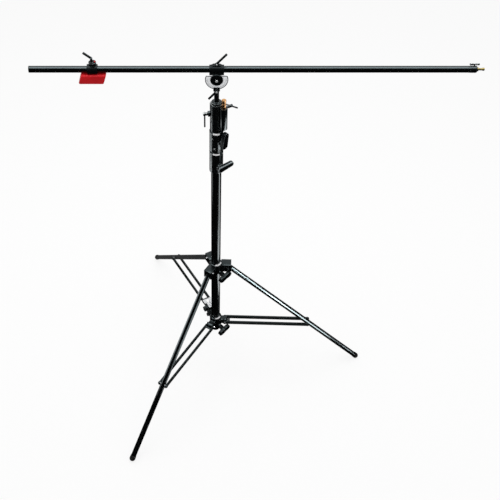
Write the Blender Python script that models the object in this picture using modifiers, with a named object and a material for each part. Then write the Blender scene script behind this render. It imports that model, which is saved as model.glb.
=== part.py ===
"""Boom stand for studio lights: a folding three-legged column stand that carries a counterweighted boom arm.

Metres, +Z up. The stand rests on three rubber feet at z = 0, the boom lies along X with its long end at +X,
and the origin is at the bottom centre of the bounding box.
"""

import math

import bmesh
import bpy
from mathutils import Matrix

# Clearances
FIT = 0.0003
RUNNING_FIT = 0.0006

# Facets around round pieces
COLUMN_SIDES = 32
TUBE_SIDES = 24
SMALL_SIDES = 16
PIN_SIDES = 12

# Column tubes
BASE_TUBE_D = 0.038
BASE_TUBE_WALL = 0.0016
BASE_TUBE_BOTTOM = 0.205
LOWER_RISER_D = 0.030
LOWER_RISER_WALL = 0.0016
LOWER_RISER_BOTTOM = 0.250
UPPER_RISER_D = 0.025
UPPER_RISER_WALL = 0.0016
UPPER_RISER_BOTTOM = 0.300
PLUG_LENGTH = 0.025
PLUG_FLANGE = 0.006

# Clamp collars of the column
CLAMP_D = 0.050
CLAMP_CHAMFER = 0.004
CLAMP_SEAT = 0.022
LOWER_CLAMP_BOTTOM = 1.164
LOWER_CLAMP_LENGTH = 0.100
UPPER_CLAMP_LENGTH = 0.092
CLAMP_BOSS_D = 0.022
CLAMP_BOSS_REACH = 0.031
LOWER_LEVER_AZIMUTH = -60.0
LOWER_LEVER_HEIGHT = 0.062
LOWER_LEVER_TURN = 12.0
UPPER_LEVER_AZIMUTH = -46.0
UPPER_LEVER_HEIGHT = 0.046
UPPER_LEVER_TURN = 80.0
LEVER_LONG_ARM = 0.049
LEVER_SHORT_ARM = 0.017
LEVER_WIDTH = 0.030
LEVER_TIP_WIDTH = 0.020
LEVER_DEPTH = 0.014
LEVER_SCREW_D = 0.008

# Socket head at the top of the column
HEAD_LENGTH = 0.113
HEAD_D = 0.046
HEAD_SEAT = 0.046
HEAD_FLOOR = 0.008
SOCKET_BORE = 0.0290
SOCKET_CHAMFER = 0.002
STUD_AZIMUTH = -38.0
STUD_D = 0.016
STUD_LENGTH = 0.034
STUD_GROOVE = 0.0018
STUD_SHANK_D = 0.010
STUD_SHANK_LENGTH = 0.022
STUD_BOSS_D = 0.026
STUD_BOSS_DROP = 0.006
STUD_BOSS_LENGTH = 0.088
TEE_BOSS_D = 0.020
TEE_BOSS_REACH = 0.030
TEE_SCREW_D = 0.008
TEE_HEAD_D = 0.011
TEE_BAR_D = 0.0055
RIGHT_TEE_AZIMUTH = 30.0
RIGHT_TEE_DROP = 0.034
RIGHT_TEE_REACH = 0.057
RIGHT_TEE_TURN = -25.0
LEFT_TEE_AZIMUTH = 190.0
LEFT_TEE_DROP = 0.042
LEFT_TEE_REACH = 0.041
TEE_BAR_LENGTH = 0.092
LEFT_BAR_LENGTH = 0.063
LEFT_BAR_ABOVE = 0.008

# Legs and braces
LEG_AZIMUTHS = {"a": -122.6, "b": -2.6, "c": 117.4}
LEG_D = 0.0222
LEG_WALL = 0.0015
LEG_HINGE_R = 0.0486
LEG_HINGE_Z = 0.6334
FOOT_CIRCLE_R = 0.6627
FOOT_WALL = 0.0014
FOOT_LENGTH = 0.026
FOOT_SINK = 0.0015
LEG_TUBE_START = 0.020
KNUCKLE_PLUG = 0.034
BRACE_POINT = 0.5201
CROSS_BOLT_D = 0.010
HINGE_PIN_D = 0.008
PIN_HEAD_D = 0.013
PIN_HEAD = 0.003
BRACE_PIVOT_R = 0.042
BRACE_PIVOT_Z = 0.2568
BRACE_HEIGHT = 0.0176
BRACE_THICKNESS = 0.006
BRACE_INNER_Y = 0.013
RIVET_HEAD_D = 0.012
SPACER_D = 0.008

# Collars of the leg spider
COLLAR_D = 0.052
LEG_COLLAR_BELOW = 0.036
LEG_COLLAR_ABOVE = 0.018
HOOD_REACH = 0.064
HOOD_WALL = 0.0055
HOOD_DROP = 0.022
HOOD_ROOF = 0.004
BRACE_COLLAR_BELOW = 0.032
BRACE_COLLAR_ABOVE = 0.028
TONGUE_R = 0.014
KNOB_AZIMUTH = -50.0
KNOB_ABOVE_EDGE = 0.012
KNOB_BOSS_D = 0.018
KNOB_BOSS_REACH = 0.033
KNOB_SCREW_D = 0.008
KNOB_SPAN = 0.062
KNOB_HUB_D = 0.022
KNOB_HUB = 0.0195
KNOB_DEPTH = 0.013
LEG_KNOB_TURN = 16.0
BRACE_KNOB_TURN = 22.0

# Levelling slide of leg c
LEVEL_PIVOT_R = 0.044
LEVEL_PIVOT_Z = 0.300
LEVEL_BAR_WIDTH = 0.024
LEVEL_BAR_THICKNESS = 0.010
LEVEL_BAR_TOP = 0.338
LEVEL_TRAVEL = 0.010
LEVEL_LUG_ABOVE = 0.009
LEVEL_SEAT_DEPTH = 0.018
LEVEL_BOSS_D = 0.016
LEVEL_BOSS_OUT = 0.010
LEVEL_BOSS_INSET = 0.005
LEVEL_SPACER_AT = 0.054
LEVEL_SLIDER_HEIGHT = 0.020
LEVEL_SLIDER_WALL = 0.005
LEVEL_KNOB_D = 0.026
LEVEL_KNOB_DEPTH = 0.016
LEVEL_KNOB_LOBES = 6

# Boom head
BOOM_RISE = 0.1354
TILT_DROP = 0.0285
SPIGOT_D = 0.028
SPIGOT_NECK_D = 0.017
SPIGOT_FLANGE_D = 0.035
SPIGOT_FLANGE = 0.006
SPIGOT_PIN_D = 0.012
SPIGOT_PIN_LENGTH = 0.012
YOKE_WIDTH = 0.022
YOKE_BLOCK_BELOW = 0.0455
YOKE_BLOCK_TOP = 0.0315
YOKE_BLOCK_FRONT = 0.019
YOKE_HALF_DEPTH = 0.015
YOKE_CHEEK_D = 0.030
TONGUE_HALF = 0.009
TONGUE_D = 0.032
SWIVEL_TEE_DROP = 0.0365
SWIVEL_TEE_REACH = 0.031
HEAD_TEE_SCREW_D = 0.006
SWIVEL_BAR_LENGTH = 0.040
SWIVEL_BAR_D = 0.0075
SWIVEL_TEE_TURN = 229.0
PROTRACTOR_R = 0.038
PROTRACTOR_THICKNESS = 0.0022
PROTRACTOR_RISE = 0.015
PROTRACTOR_CORNER = 0.006
TILT_DISC_D = 0.042
TILT_DISC_DEPTH = 0.004
TILT_BOLT_D = 0.008
TILT_BOLT_HEAD_D = 0.013
TILT_BOLT_HEAD = 0.004
CLAMP_BODY_LENGTH = 0.048
CLAMP_BODY_WALL = 0.0035
CLAMP_BODY_UNDER = 0.0154
CLAMP_CROWN_LENGTH = 0.044
CLAMP_CROWN_TOP_LENGTH = 0.020
CLAMP_CROWN_HALF = 0.0070
CLAMP_CROWN_TOP = 0.0175
BOOM_LEVER_HUB_D = 0.012
BOOM_LEVER_HUB = 0.006
BOOM_LEVER_LENGTH = 0.048
BOOM_LEVER_D = 0.0075
BOOM_LEVER_ANGLE = 48.0

# Boom
BOOM_D = 0.022
BOOM_WALL = 0.0020
BOOM_TAIL = 0.6056
BOOM_NOSE = 0.820
TAIL_CAP_FLANGE = 0.003
END_FITTING_D = 0.0230
END_FITTING_LENGTH = 0.023
END_FITTING_PLUG = 0.030
END_SPIGOT_D = 0.010
END_SPIGOT_SHANK = 0.021
END_SPIGOT_FLANGE_D = 0.014
END_SPIGOT_FLANGE = 0.003
END_SPIGOT_GROOVE = 0.0012
WING_SCREW_BACK = 0.0115
WING_SCREW_D = 0.004
WING_SPAN = 0.033
WING_HEIGHT = 0.006
WING_THICKNESS = 0.003
WING_RISE = 0.016

# Counterweight
WEIGHT_X = -0.399
WEIGHT_LENGTH = 0.082
WEIGHT_SLANT = 0.010
WEIGHT_HEIGHT = 0.033
WEIGHT_DEPTH = 0.044
WEIGHT_CORNER = 0.004
WEIGHT_RING_X = -0.403
WEIGHT_RING_LENGTH = 0.033
WEIGHT_RING_WALL = 0.0055
WEIGHT_LEVER_X = -0.4005
WEIGHT_HUB_D = 0.025
WEIGHT_HUB = 0.011
WEIGHT_LEVER_D = 0.0085
WEIGHT_LEVER_RISE = 0.014
WEIGHT_LEVER_REACH = 0.026
WEIGHT_LEVER_TIP_RISE = 0.045
WEIGHT_BUTTON_D = 0.005
WEIGHT_BUTTON_OUT = 0.003
WEIGHT_BUTTON_DEPTH = 0.005
WEIGHT_BUTTON_OFFSET = 0.0082

# Worked out from the sizes above
BASE_TUBE_R = BASE_TUBE_D / 2
LOWER_CLAMP_TOP = LOWER_CLAMP_BOTTOM + LOWER_CLAMP_LENGTH
UPPER_CLAMP_BOTTOM = LOWER_CLAMP_TOP + FIT
UPPER_CLAMP_TOP = UPPER_CLAMP_BOTTOM + UPPER_CLAMP_LENGTH
HEAD_BOTTOM = UPPER_CLAMP_TOP + FIT
HEAD_TOP = HEAD_BOTTOM + HEAD_LENGTH
STUD_REACH = HEAD_D / 2 + STUD_D / 2 + FIT
BOOM_Z = HEAD_TOP + BOOM_RISE
FOOT_R = LEG_D / 2 + FIT + FOOT_WALL
FOOT_D = 2 * FOOT_R
FOOT_CENTRE_Z = FOOT_R - FOOT_SINK
LEG_RUN = FOOT_CIRCLE_R - LEG_HINGE_R
LEG_FALL = LEG_HINGE_Z - FOOT_CENTRE_Z
LEG_LENGTH = math.hypot(LEG_RUN, LEG_FALL)
LEG_ANGLE = math.atan2(LEG_RUN, LEG_FALL)
BRACE_POINT_R = LEG_HINGE_R + BRACE_POINT * math.sin(LEG_ANGLE)
BRACE_POINT_Z = LEG_HINGE_Z - BRACE_POINT * math.cos(LEG_ANGLE)
BRACE_OUTER_Y = BRACE_INNER_Y + BRACE_THICKNESS
LUG_HALF = BRACE_INNER_Y - FIT
HOOD_SLOT_HALF = LEG_D / 2 + RUNNING_FIT
HOOD_HALF = HOOD_SLOT_HALF + HOOD_WALL
TILT_Z = BOOM_Z - TILT_DROP
BOOM_R = BOOM_D / 2
BOOM_BORE_R = BOOM_R + FIT
PROTRACTOR_BACK = YOKE_HALF_DEPTH + FIT
PROTRACTOR_FRONT = PROTRACTOR_BACK + PROTRACTOR_THICKNESS
TILT_DISC_BACK = PROTRACTOR_FRONT + FIT
TILT_DISC_FRONT = TILT_DISC_BACK + TILT_DISC_DEPTH
BOOM_END = BOOM_NOSE + FIT + END_FITTING_LENGTH
TIP_X = BOOM_END + FIT + END_SPIGOT_FLANGE + END_SPIGOT_SHANK
TAIL_X = -BOOM_TAIL - FIT - TAIL_CAP_FLANGE
FEET_Y = [FOOT_CIRCLE_R * math.sin(math.radians(turn)) for turn in LEG_AZIMUTHS.values()]
AXIS_X = -(TIP_X + TAIL_X) / 2
AXIS_Y = -(max(FEET_Y) + min(FEET_Y)) / 2


def clear_scene():
    for item in list(bpy.data.objects):
        bpy.data.objects.remove(item, do_unlink=True)


def new_collection(name):
    collection = bpy.data.collections.new(name)
    bpy.context.scene.collection.children.link(collection)
    return collection


def new_finish(name, colour, roughness, metallic):
    finish = bpy.data.materials.new(name)
    finish.use_nodes = True
    shader = finish.node_tree.nodes["Principled BSDF"]
    shader.inputs["Base Color"].default_value = (*colour, 1.0)
    shader.inputs["Roughness"].default_value = roughness
    shader.inputs["Metallic"].default_value = metallic
    return finish


clear_scene()
PARTS = new_collection("boom_stand")
HELPERS = new_collection("boom_stand_cutters")
BLACK_TUBE = new_finish("black_tube_paint", (0.012, 0.013, 0.013), 0.25, 0.0)
BLACK_CASTING = new_finish("black_casting_paint", (0.014, 0.015, 0.016), 0.42, 0.0)
BLACK_PLASTIC = new_finish("black_plastic", (0.016, 0.016, 0.017), 0.45, 0.0)
RUBBER = new_finish("black_rubber", (0.012, 0.012, 0.012), 0.75, 0.0)
STEEL = new_finish("bright_steel", (0.72, 0.73, 0.74), 0.22, 1.0)
GREY_STEEL = new_finish("grey_steel", (0.30, 0.32, 0.32), 0.35, 1.0)
BRASS = new_finish("brass", (0.62, 0.38, 0.16), 0.30, 1.0)
ALUMINIUM = new_finish("silver_aluminium", (0.83, 0.84, 0.85), 0.30, 1.0)
RED = new_finish("red_paint", (0.50, 0.012, 0.018), 0.32, 0.0)


def frame(name, parent, location, rotation=(0.0, 0.0, 0.0)):
    """An empty that carries pieces: the origin and the axes that they are drawn in."""
    empty = bpy.data.objects.new(name, None)
    PARTS.objects.link(empty)
    empty.parent = parent
    empty.location = location
    empty.rotation_euler = rotation
    return empty


def outward_frame(name, parent, azimuth, reach, height):
    """A frame whose Z axis points away from the column, level, along an azimuth in degrees."""
    turn = math.radians(azimuth)
    location = (reach * math.cos(turn), reach * math.sin(turn), height)
    return frame(name, parent, location, (0.0, math.pi / 2, turn))


def new_piece(name, mesh, finish, parent, turn=0.0):
    piece = bpy.data.objects.new(name, mesh)
    PARTS.objects.link(piece)
    piece.parent = parent
    piece.rotation_euler = (0.0, 0.0, math.radians(turn))
    mesh.materials.append(finish)
    mesh.shade_smooth()
    mesh.set_sharp_from_angle(angle=math.radians(35))
    return piece


def mesh_of(form, name):
    mesh = bpy.data.meshes.new(name)
    form.to_mesh(mesh)
    form.free()
    return mesh


def block(name, low, high, finish, parent, turn=0.0):
    """A box between two opposite corners."""
    size = [top - bottom for bottom, top in zip(low, high)]
    centre = [(top + bottom) / 2 for bottom, top in zip(low, high)]
    form = bmesh.new()
    bmesh.ops.create_cube(form, size=1.0, matrix=Matrix.Translation(centre) @ Matrix.Diagonal((*size, 1.0)))
    return new_piece(name, mesh_of(form, name), finish, parent, turn)


def round_bar(name, radius, start, end, finish, parent, sides=SMALL_SIDES, turn=0.0):
    """A cylinder between two points of its frame."""
    along = [b - a for a, b in zip(start, end)]
    length = math.sqrt(sum(part * part for part in along))
    middle = [(a + b) / 2 for a, b in zip(start, end)]
    tilt = math.acos(along[2] / length)
    heading = math.atan2(along[1], along[0])
    pose = Matrix.Translation(middle) @ Matrix.Rotation(heading, 4, "Z") @ Matrix.Rotation(tilt, 4, "Y")
    form = bmesh.new()
    bmesh.ops.create_cone(
        form, cap_ends=True, segments=sides, radius1=radius, radius2=radius, depth=length, matrix=pose
    )
    return new_piece(name, mesh_of(form, name), finish, parent, turn)


def turned(name, profile, finish, parent, sides=SMALL_SIDES, ring=False, turn=0.0):
    """A lathe shape around Z from (radius, height) points that run down the outer side."""
    mesh = bpy.data.meshes.new(name)
    points = [(radius, 0.0, height) for radius, height in profile]
    edges = [(index, index + 1) for index in range(len(points) - 1)]
    if ring:
        edges.append((len(points) - 1, 0))
    mesh.from_pydata(points, edges, [])
    piece = new_piece(name, mesh, finish, parent, turn)
    screw = piece.modifiers.new("turn", "SCREW")
    screw.axis = "Z"
    screw.steps = sides
    screw.render_steps = sides
    screw.use_merge_vertices = True
    screw.merge_threshold = 0.00001
    return piece


def tube(name, outer_d, wall, bottom, top, finish, parent, sides):
    outer = outer_d / 2
    inner = outer - wall
    profile = [(outer, top), (outer, bottom), (inner, bottom), (inner, top)]
    return turned(name, profile, finish, parent, sides, True)


def plate(name, loops, low, high, finish, parent, pose=Matrix.Identity(4), turn=0.0):
    """A flat outline with its holes, drawn in XY and raised from one height to another."""
    drawing = bpy.data.curves.new(name, "CURVE")
    drawing.dimensions = "2D"
    drawing.fill_mode = "BOTH"
    drawing.extrude = (high - low) / 2
    for loop in loops:
        spline = drawing.splines.new("POLY")
        spline.points.add(len(loop) - 1)
        spline.use_cyclic_u = True
        for point, (x, y) in zip(spline.points, loop):
            point.co = (x, y, 0.0, 1.0)
    sketch = bpy.data.objects.new(name + "_sketch", drawing)
    PARTS.objects.link(sketch)
    bpy.context.view_layer.update()
    graph = bpy.context.evaluated_depsgraph_get()
    mesh = bpy.data.meshes.new_from_object(sketch.evaluated_get(graph))
    bpy.data.objects.remove(sketch, do_unlink=True)
    form = bmesh.new()
    form.from_mesh(mesh)
    bmesh.ops.remove_doubles(form, verts=form.verts, dist=0.000001)
    bmesh.ops.recalc_face_normals(form, faces=form.faces)
    form.to_mesh(mesh)
    form.free()
    mesh.transform(pose @ Matrix.Translation((0.0, 0.0, (low + high) / 2)))
    mesh.materials.clear()
    return new_piece(name, mesh, finish, parent, turn)


def arc(radius, start, end, steps, centre=(0.0, 0.0)):
    """Points on a circle from one angle to another, in degrees."""
    angles = [math.radians(start + (end - start) * step / steps) for step in range(steps + 1)]
    return [(centre[0] + radius * math.cos(a), centre[1] + radius * math.sin(a)) for a in angles]


def circle(radius, sides, centre=(0.0, 0.0)):
    return arc(radius, 0.0, 360.0, sides, centre)[:-1]


def use(target, other, operation):
    """Join a helper shape to a piece, or cut the piece with it."""
    for collection in list(other.users_collection):
        collection.objects.unlink(other)
    HELPERS.objects.link(other)
    other.hide_render = True
    other.display_type = "WIRE"
    step = target.modifiers.new(operation.lower(), "BOOLEAN")
    step.operation = operation
    step.solver = "EXACT"
    step.object = other


def join(target, *others):
    for other in others:
        use(target, other, "UNION")


def cut(target, *others):
    for other in others:
        use(target, other, "DIFFERENCE")


def mirror_pair(piece):
    """The same piece again on the other side of its frame's XZ plane."""
    mirror = piece.modifiers.new("pair", "MIRROR")
    mirror.use_axis = (False, True, False)
    mirror.merge_threshold = 0.00001


SIDEWAYS = Matrix.Rotation(math.pi / 2, 4, "X")
STAND = frame("stand_axis", None, (AXIS_X, AXIS_Y, 0.0))
RADIAL = {
    leg: frame(f"leg_{leg}_plane", STAND, (0.0, 0.0, 0.0), (0.0, 0.0, math.radians(turn)))
    for leg, turn in LEG_AZIMUTHS.items()
}


def make_plug(name, tube_d, wall, tube_bottom, flange_d):
    """An end plug: a flange under the tube's lower end and a shank inside it."""
    shank = tube_d / 2 - wall - FIT
    top = tube_bottom + PLUG_LENGTH
    under = tube_bottom - FIT
    profile = [
        (0.0, top),
        (shank, top),
        (shank, under),
        (flange_d / 2, under),
        (flange_d / 2, under - PLUG_FLANGE),
        (0.0, under - PLUG_FLANGE),
    ]
    turned(name, profile, BLACK_PLASTIC, STAND, COLUMN_SIDES)


def make_column_tubes():
    base_top = LOWER_CLAMP_BOTTOM + CLAMP_SEAT - FIT
    lower_top = UPPER_CLAMP_BOTTOM + CLAMP_SEAT - FIT
    upper_top = HEAD_BOTTOM + HEAD_SEAT - FIT
    base_bore = BASE_TUBE_D - 2 * BASE_TUBE_WALL
    lower_bore = LOWER_RISER_D - 2 * LOWER_RISER_WALL
    for name, diameter, wall, bottom, top in (
        ("base_tube", BASE_TUBE_D, BASE_TUBE_WALL, BASE_TUBE_BOTTOM, base_top),
        ("lower_riser", LOWER_RISER_D, LOWER_RISER_WALL, LOWER_RISER_BOTTOM, lower_top),
        ("upper_riser", UPPER_RISER_D, UPPER_RISER_WALL, UPPER_RISER_BOTTOM, upper_top),
    ):
        tube(name, diameter, wall, bottom, top, BLACK_TUBE, STAND, COLUMN_SIDES)
    make_plug("base_tube_cap", BASE_TUBE_D, BASE_TUBE_WALL, BASE_TUBE_BOTTOM, BASE_TUBE_D)
    make_plug("lower_riser_guide", LOWER_RISER_D, LOWER_RISER_WALL, LOWER_RISER_BOTTOM, base_bore - 2 * FIT)
    make_plug("upper_riser_guide", UPPER_RISER_D, UPPER_RISER_WALL, UPPER_RISER_BOTTOM, lower_bore - 2 * FIT)


def make_clamp_collar(name, bottom, length, seat_d, riser_d, lever_azimuth, lever_height):
    """A collar fixed on one tube, with a bore for the next tube and a boss for the lever's screw."""
    top = bottom + length
    shoulder = bottom + CLAMP_SEAT
    outer = CLAMP_D / 2
    profile = [
        (outer - CLAMP_CHAMFER, top),
        (outer, top - CLAMP_CHAMFER),
        (outer, bottom + CLAMP_CHAMFER),
        (outer - CLAMP_CHAMFER, bottom),
        (seat_d / 2 + FIT, bottom),
        (seat_d / 2 + FIT, shoulder),
        (riser_d / 2 + FIT, shoulder),
        (riser_d / 2 + FIT, top),
    ]
    collar = turned(name, profile, BLACK_CASTING, STAND, COLUMN_SIDES, True)
    height = top - lever_height
    screw_axis = outward_frame(name + "_screw_axis", STAND, lever_azimuth, 0.0, height)
    boss = round_bar(
        name + "_boss",
        CLAMP_BOSS_D / 2,
        (0.0, 0.0, (riser_d / 2 + outer) / 2),
        (0.0, 0.0, CLAMP_BOSS_REACH),
        BLACK_CASTING,
        screw_axis,
    )
    hole = round_bar(
        name + "_screw_hole",
        LEVER_SCREW_D / 2 + FIT,
        (0.0, 0.0, riser_d / 2 - FIT),
        (0.0, 0.0, CLAMP_BOSS_REACH + FIT),
        BLACK_CASTING,
        screw_axis,
        PIN_SIDES,
    )
    join(collar, boss)
    cut(collar, hole)
    return screw_axis


def make_lever(name, screw_axis, riser_d, turn):
    """A two-armed clamp lever on its screw, which ends just short of the riser."""
    low = CLAMP_BOSS_REACH + FIT
    high = low + LEVER_DEPTH
    half = LEVER_WIDTH / 2
    tip = LEVER_TIP_WIDTH / 2
    outline = arc(half, 120.0, 240.0, 4, (half - LEVER_SHORT_ARM, 0.0))
    outline += arc(tip, -90.0, 90.0, 6, (LEVER_LONG_ARM - tip, 0.0))
    to_side = Matrix.Rotation(math.pi / 2, 4, "Z")
    lever = plate(name, [outline], low, high, BLACK_PLASTIC, screw_axis, to_side, turn)
    screw = round_bar(
        name + "_screw",
        LEVER_SCREW_D / 2,
        (0.0, 0.0, riser_d / 2 + 2 * FIT),
        (0.0, 0.0, low + LEVER_DEPTH / 2),
        STEEL,
        screw_axis,
        PIN_SIDES,
        turn,
    )
    join(lever, screw)


def make_clamps():
    lower_axis = make_clamp_collar(
        "lower_clamp_collar",
        LOWER_CLAMP_BOTTOM,
        LOWER_CLAMP_LENGTH,
        BASE_TUBE_D,
        LOWER_RISER_D,
        LOWER_LEVER_AZIMUTH,
        LOWER_LEVER_HEIGHT,
    )
    make_lever("lower_clamp_lever", lower_axis, LOWER_RISER_D, LOWER_LEVER_TURN)
    upper_axis = make_clamp_collar(
        "upper_clamp_collar",
        UPPER_CLAMP_BOTTOM,
        UPPER_CLAMP_LENGTH,
        LOWER_RISER_D,
        UPPER_RISER_D,
        UPPER_LEVER_AZIMUTH,
        UPPER_LEVER_HEIGHT,
    )
    make_lever("upper_clamp_lever", upper_axis, UPPER_RISER_D, UPPER_LEVER_TURN)


def make_tee(name, axis, tip, reach, bar_start, bar_end, turn, screw_d, finish, bar_d=TEE_BAR_D):
    """A T-handle: a screw along the axis with a bar across its head."""
    head_start = reach - 2 * TEE_BAR_D
    profile = [
        (0.0, reach + TEE_BAR_D),
        (TEE_HEAD_D / 2, reach + TEE_BAR_D),
        (TEE_HEAD_D / 2, head_start),
        (screw_d / 2, head_start),
        (screw_d / 2, tip),
        (0.0, tip),
    ]
    tee = turned(name, profile, finish, axis, PIN_SIDES, turn=turn)
    ends = (bar_start, 0.0, reach), (bar_end, 0.0, reach)
    bar = round_bar(name + "_bar", bar_d / 2, *ends, finish, axis, PIN_SIDES, turn)
    join(tee, bar)


def make_socket_head():
    outer = HEAD_D / 2
    socket = SOCKET_BORE / 2
    seat = UPPER_RISER_D / 2 + FIT
    shoulder = HEAD_BOTTOM + HEAD_SEAT
    floor = shoulder + HEAD_FLOOR
    drain = UPPER_RISER_D / 2 - UPPER_RISER_WALL
    profile = [
        (socket + SOCKET_CHAMFER, HEAD_TOP),
        (outer - SOCKET_CHAMFER, HEAD_TOP),
        (outer, HEAD_TOP - SOCKET_CHAMFER),
        (outer, HEAD_BOTTOM + SOCKET_CHAMFER),
        (outer - SOCKET_CHAMFER, HEAD_BOTTOM),
        (seat, HEAD_BOTTOM),
        (seat, shoulder),
        (drain, shoulder),
        (drain, floor),
        (socket, floor),
        (socket, HEAD_TOP - SOCKET_CHAMFER),
    ]
    head = turned("socket_head", profile, BLACK_CASTING, STAND, COLUMN_SIDES, True)
    turn = math.radians(STUD_AZIMUTH)
    stud_foot = HEAD_TOP - STUD_BOSS_DROP
    stud_place = (STUD_REACH * math.cos(turn), STUD_REACH * math.sin(turn), stud_foot)
    stud_axis = frame("stud_axis", STAND, stud_place)
    boss = round_bar(
        "stud_boss",
        STUD_BOSS_D / 2,
        (0.0, 0.0, -STUD_BOSS_LENGTH),
        (0.0, 0.0, 0.0),
        BLACK_CASTING,
        stud_axis,
        TUBE_SIDES,
    )
    shank_hole = round_bar(
        "stud_hole",
        STUD_SHANK_D / 2 + FIT,
        (0.0, 0.0, -STUD_SHANK_LENGTH - FIT),
        (0.0, 0.0, FIT),
        BLACK_CASTING,
        stud_axis,
        PIN_SIDES,
    )
    join(head, boss)
    tee_holes = []
    for side, azimuth, drop in (
        ("right", RIGHT_TEE_AZIMUTH, RIGHT_TEE_DROP),
        ("left", LEFT_TEE_AZIMUTH, LEFT_TEE_DROP),
    ):
        axis = outward_frame(f"socket_tee_{side}_axis", STAND, azimuth, 0.0, HEAD_TOP - drop)
        inside = (socket + outer) / 2
        tee_boss = round_bar(
            f"tee_boss_{side}",
            TEE_BOSS_D / 2,
            (0.0, 0.0, inside),
            (0.0, 0.0, TEE_BOSS_REACH),
            BLACK_CASTING,
            axis,
        )
        join(head, tee_boss)
        tee_holes.append(
            round_bar(
                f"tee_hole_{side}",
                TEE_SCREW_D / 2 + FIT,
                (0.0, 0.0, SPIGOT_D / 2 - TEE_SCREW_D),
                (0.0, 0.0, TEE_BOSS_REACH + FIT),
                BLACK_CASTING,
                axis,
                PIN_SIDES,
            )
        )
        tip = SPIGOT_D / 2 + FIT
        if side == "right":
            half = TEE_BAR_LENGTH / 2
            bar = RIGHT_TEE_REACH, -half, half, 90.0 + RIGHT_TEE_TURN
            make_tee("socket_tee_right", axis, tip, *bar, TEE_SCREW_D, BLACK_CASTING)
        else:
            below = LEFT_BAR_LENGTH - LEFT_BAR_ABOVE
            bar = LEFT_TEE_REACH, -LEFT_BAR_ABOVE, below, 0.0
            make_tee("socket_tee_left", axis, tip, *bar, TEE_SCREW_D, GREY_STEEL)
    cut(head, shank_hole, *tee_holes)
    stud = STUD_D / 2
    groove = STUD_LENGTH * 2 / 3
    stud_profile = [
        (0.0, STUD_LENGTH),
        (stud - STUD_GROOVE, STUD_LENGTH),
        (stud, STUD_LENGTH - STUD_GROOVE),
        (stud, groove + STUD_GROOVE),
        (stud - STUD_GROOVE, groove),
        (stud - STUD_GROOVE, groove - 2 * STUD_GROOVE),
        (stud, groove - 3 * STUD_GROOVE),
        (stud, FIT),
        (STUD_SHANK_D / 2, FIT),
        (STUD_SHANK_D / 2, -STUD_SHANK_LENGTH),
        (0.0, -STUD_SHANK_LENGTH),
    ]
    turned("brass_stud", stud_profile, BRASS, stud_axis, SMALL_SIDES)


def make_wing_knob(name, screw_axis, turn):
    """A two-winged knob on its screw, which ends just short of the column."""
    hub_start = KNOB_BOSS_REACH + FIT
    low = hub_start + KNOB_HUB
    high = low + KNOB_DEPTH
    hub = KNOB_HUB_D / 2
    wing = KNOB_SPAN / 2 - hub
    steps = 2 * COLUMN_SIDES
    angles = [2 * math.pi * step / steps for step in range(steps)]
    reach = [hub + wing * abs(math.cos(angle)) ** 3 for angle in angles]
    outline = [(r * math.cos(angle), r * math.sin(angle)) for r, angle in zip(reach, angles)]
    to_side = Matrix.Rotation(math.pi / 2, 4, "Z")
    knob = plate(name, [outline], low, high, BLACK_PLASTIC, screw_axis, to_side, turn)
    neck = round_bar(
        name + "_neck",
        hub - RUNNING_FIT,
        (0.0, 0.0, hub_start),
        (0.0, 0.0, low + KNOB_DEPTH / 2),
        BLACK_PLASTIC,
        screw_axis,
        SMALL_SIDES,
        turn,
    )
    screw = round_bar(
        name + "_screw",
        KNOB_SCREW_D / 2,
        (0.0, 0.0, BASE_TUBE_R + 2 * FIT),
        (0.0, 0.0, hub_start + KNOB_HUB / 2),
        STEEL,
        screw_axis,
        PIN_SIDES,
        turn,
    )
    join(knob, neck, screw)


def make_collar_ring(name, bottom, top):
    outer = COLLAR_D / 2
    bore = BASE_TUBE_R + FIT
    profile = [
        (outer - CLAMP_CHAMFER, top),
        (outer, top - CLAMP_CHAMFER),
        (outer, bottom + CLAMP_CHAMFER),
        (outer - CLAMP_CHAMFER, bottom),
        (bore, bottom),
        (bore, top),
    ]
    return turned(name, profile, BLACK_CASTING, STAND, COLUMN_SIDES, True)


def add_knob_boss(collar, name, height):
    screw_axis = outward_frame(name + "_knob_axis", STAND, KNOB_AZIMUTH, 0.0, height)
    boss = round_bar(
        name + "_knob_boss",
        KNOB_BOSS_D / 2,
        (0.0, 0.0, (BASE_TUBE_R + COLLAR_D / 2) / 2),
        (0.0, 0.0, KNOB_BOSS_REACH),
        BLACK_CASTING,
        screw_axis,
    )
    hole = round_bar(
        name + "_knob_hole",
        KNOB_SCREW_D / 2 + FIT,
        (0.0, 0.0, BASE_TUBE_R - FIT),
        (0.0, 0.0, KNOB_BOSS_REACH + FIT),
        BLACK_CASTING,
        screw_axis,
        PIN_SIDES,
    )
    join(collar, boss)
    cut(collar, hole)
    return screw_axis


def make_pin(name, half, parent):
    """A steel pin along Y with a head at each end, its heads starting at +-half."""
    shaft = HINGE_PIN_D / 2
    head = PIN_HEAD_D / 2
    end = half + PIN_HEAD
    profile = [
        (0.0, end),
        (head, end),
        (head, half),
        (shaft, half),
        (shaft, -half),
        (head, -half),
        (head, -end),
        (0.0, -end),
    ]
    axis = frame(name + "_axis", parent, (0.0, 0.0, 0.0), (math.pi / 2, 0.0, 0.0))
    turned(name, profile, STEEL, axis, PIN_SIDES)


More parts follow.
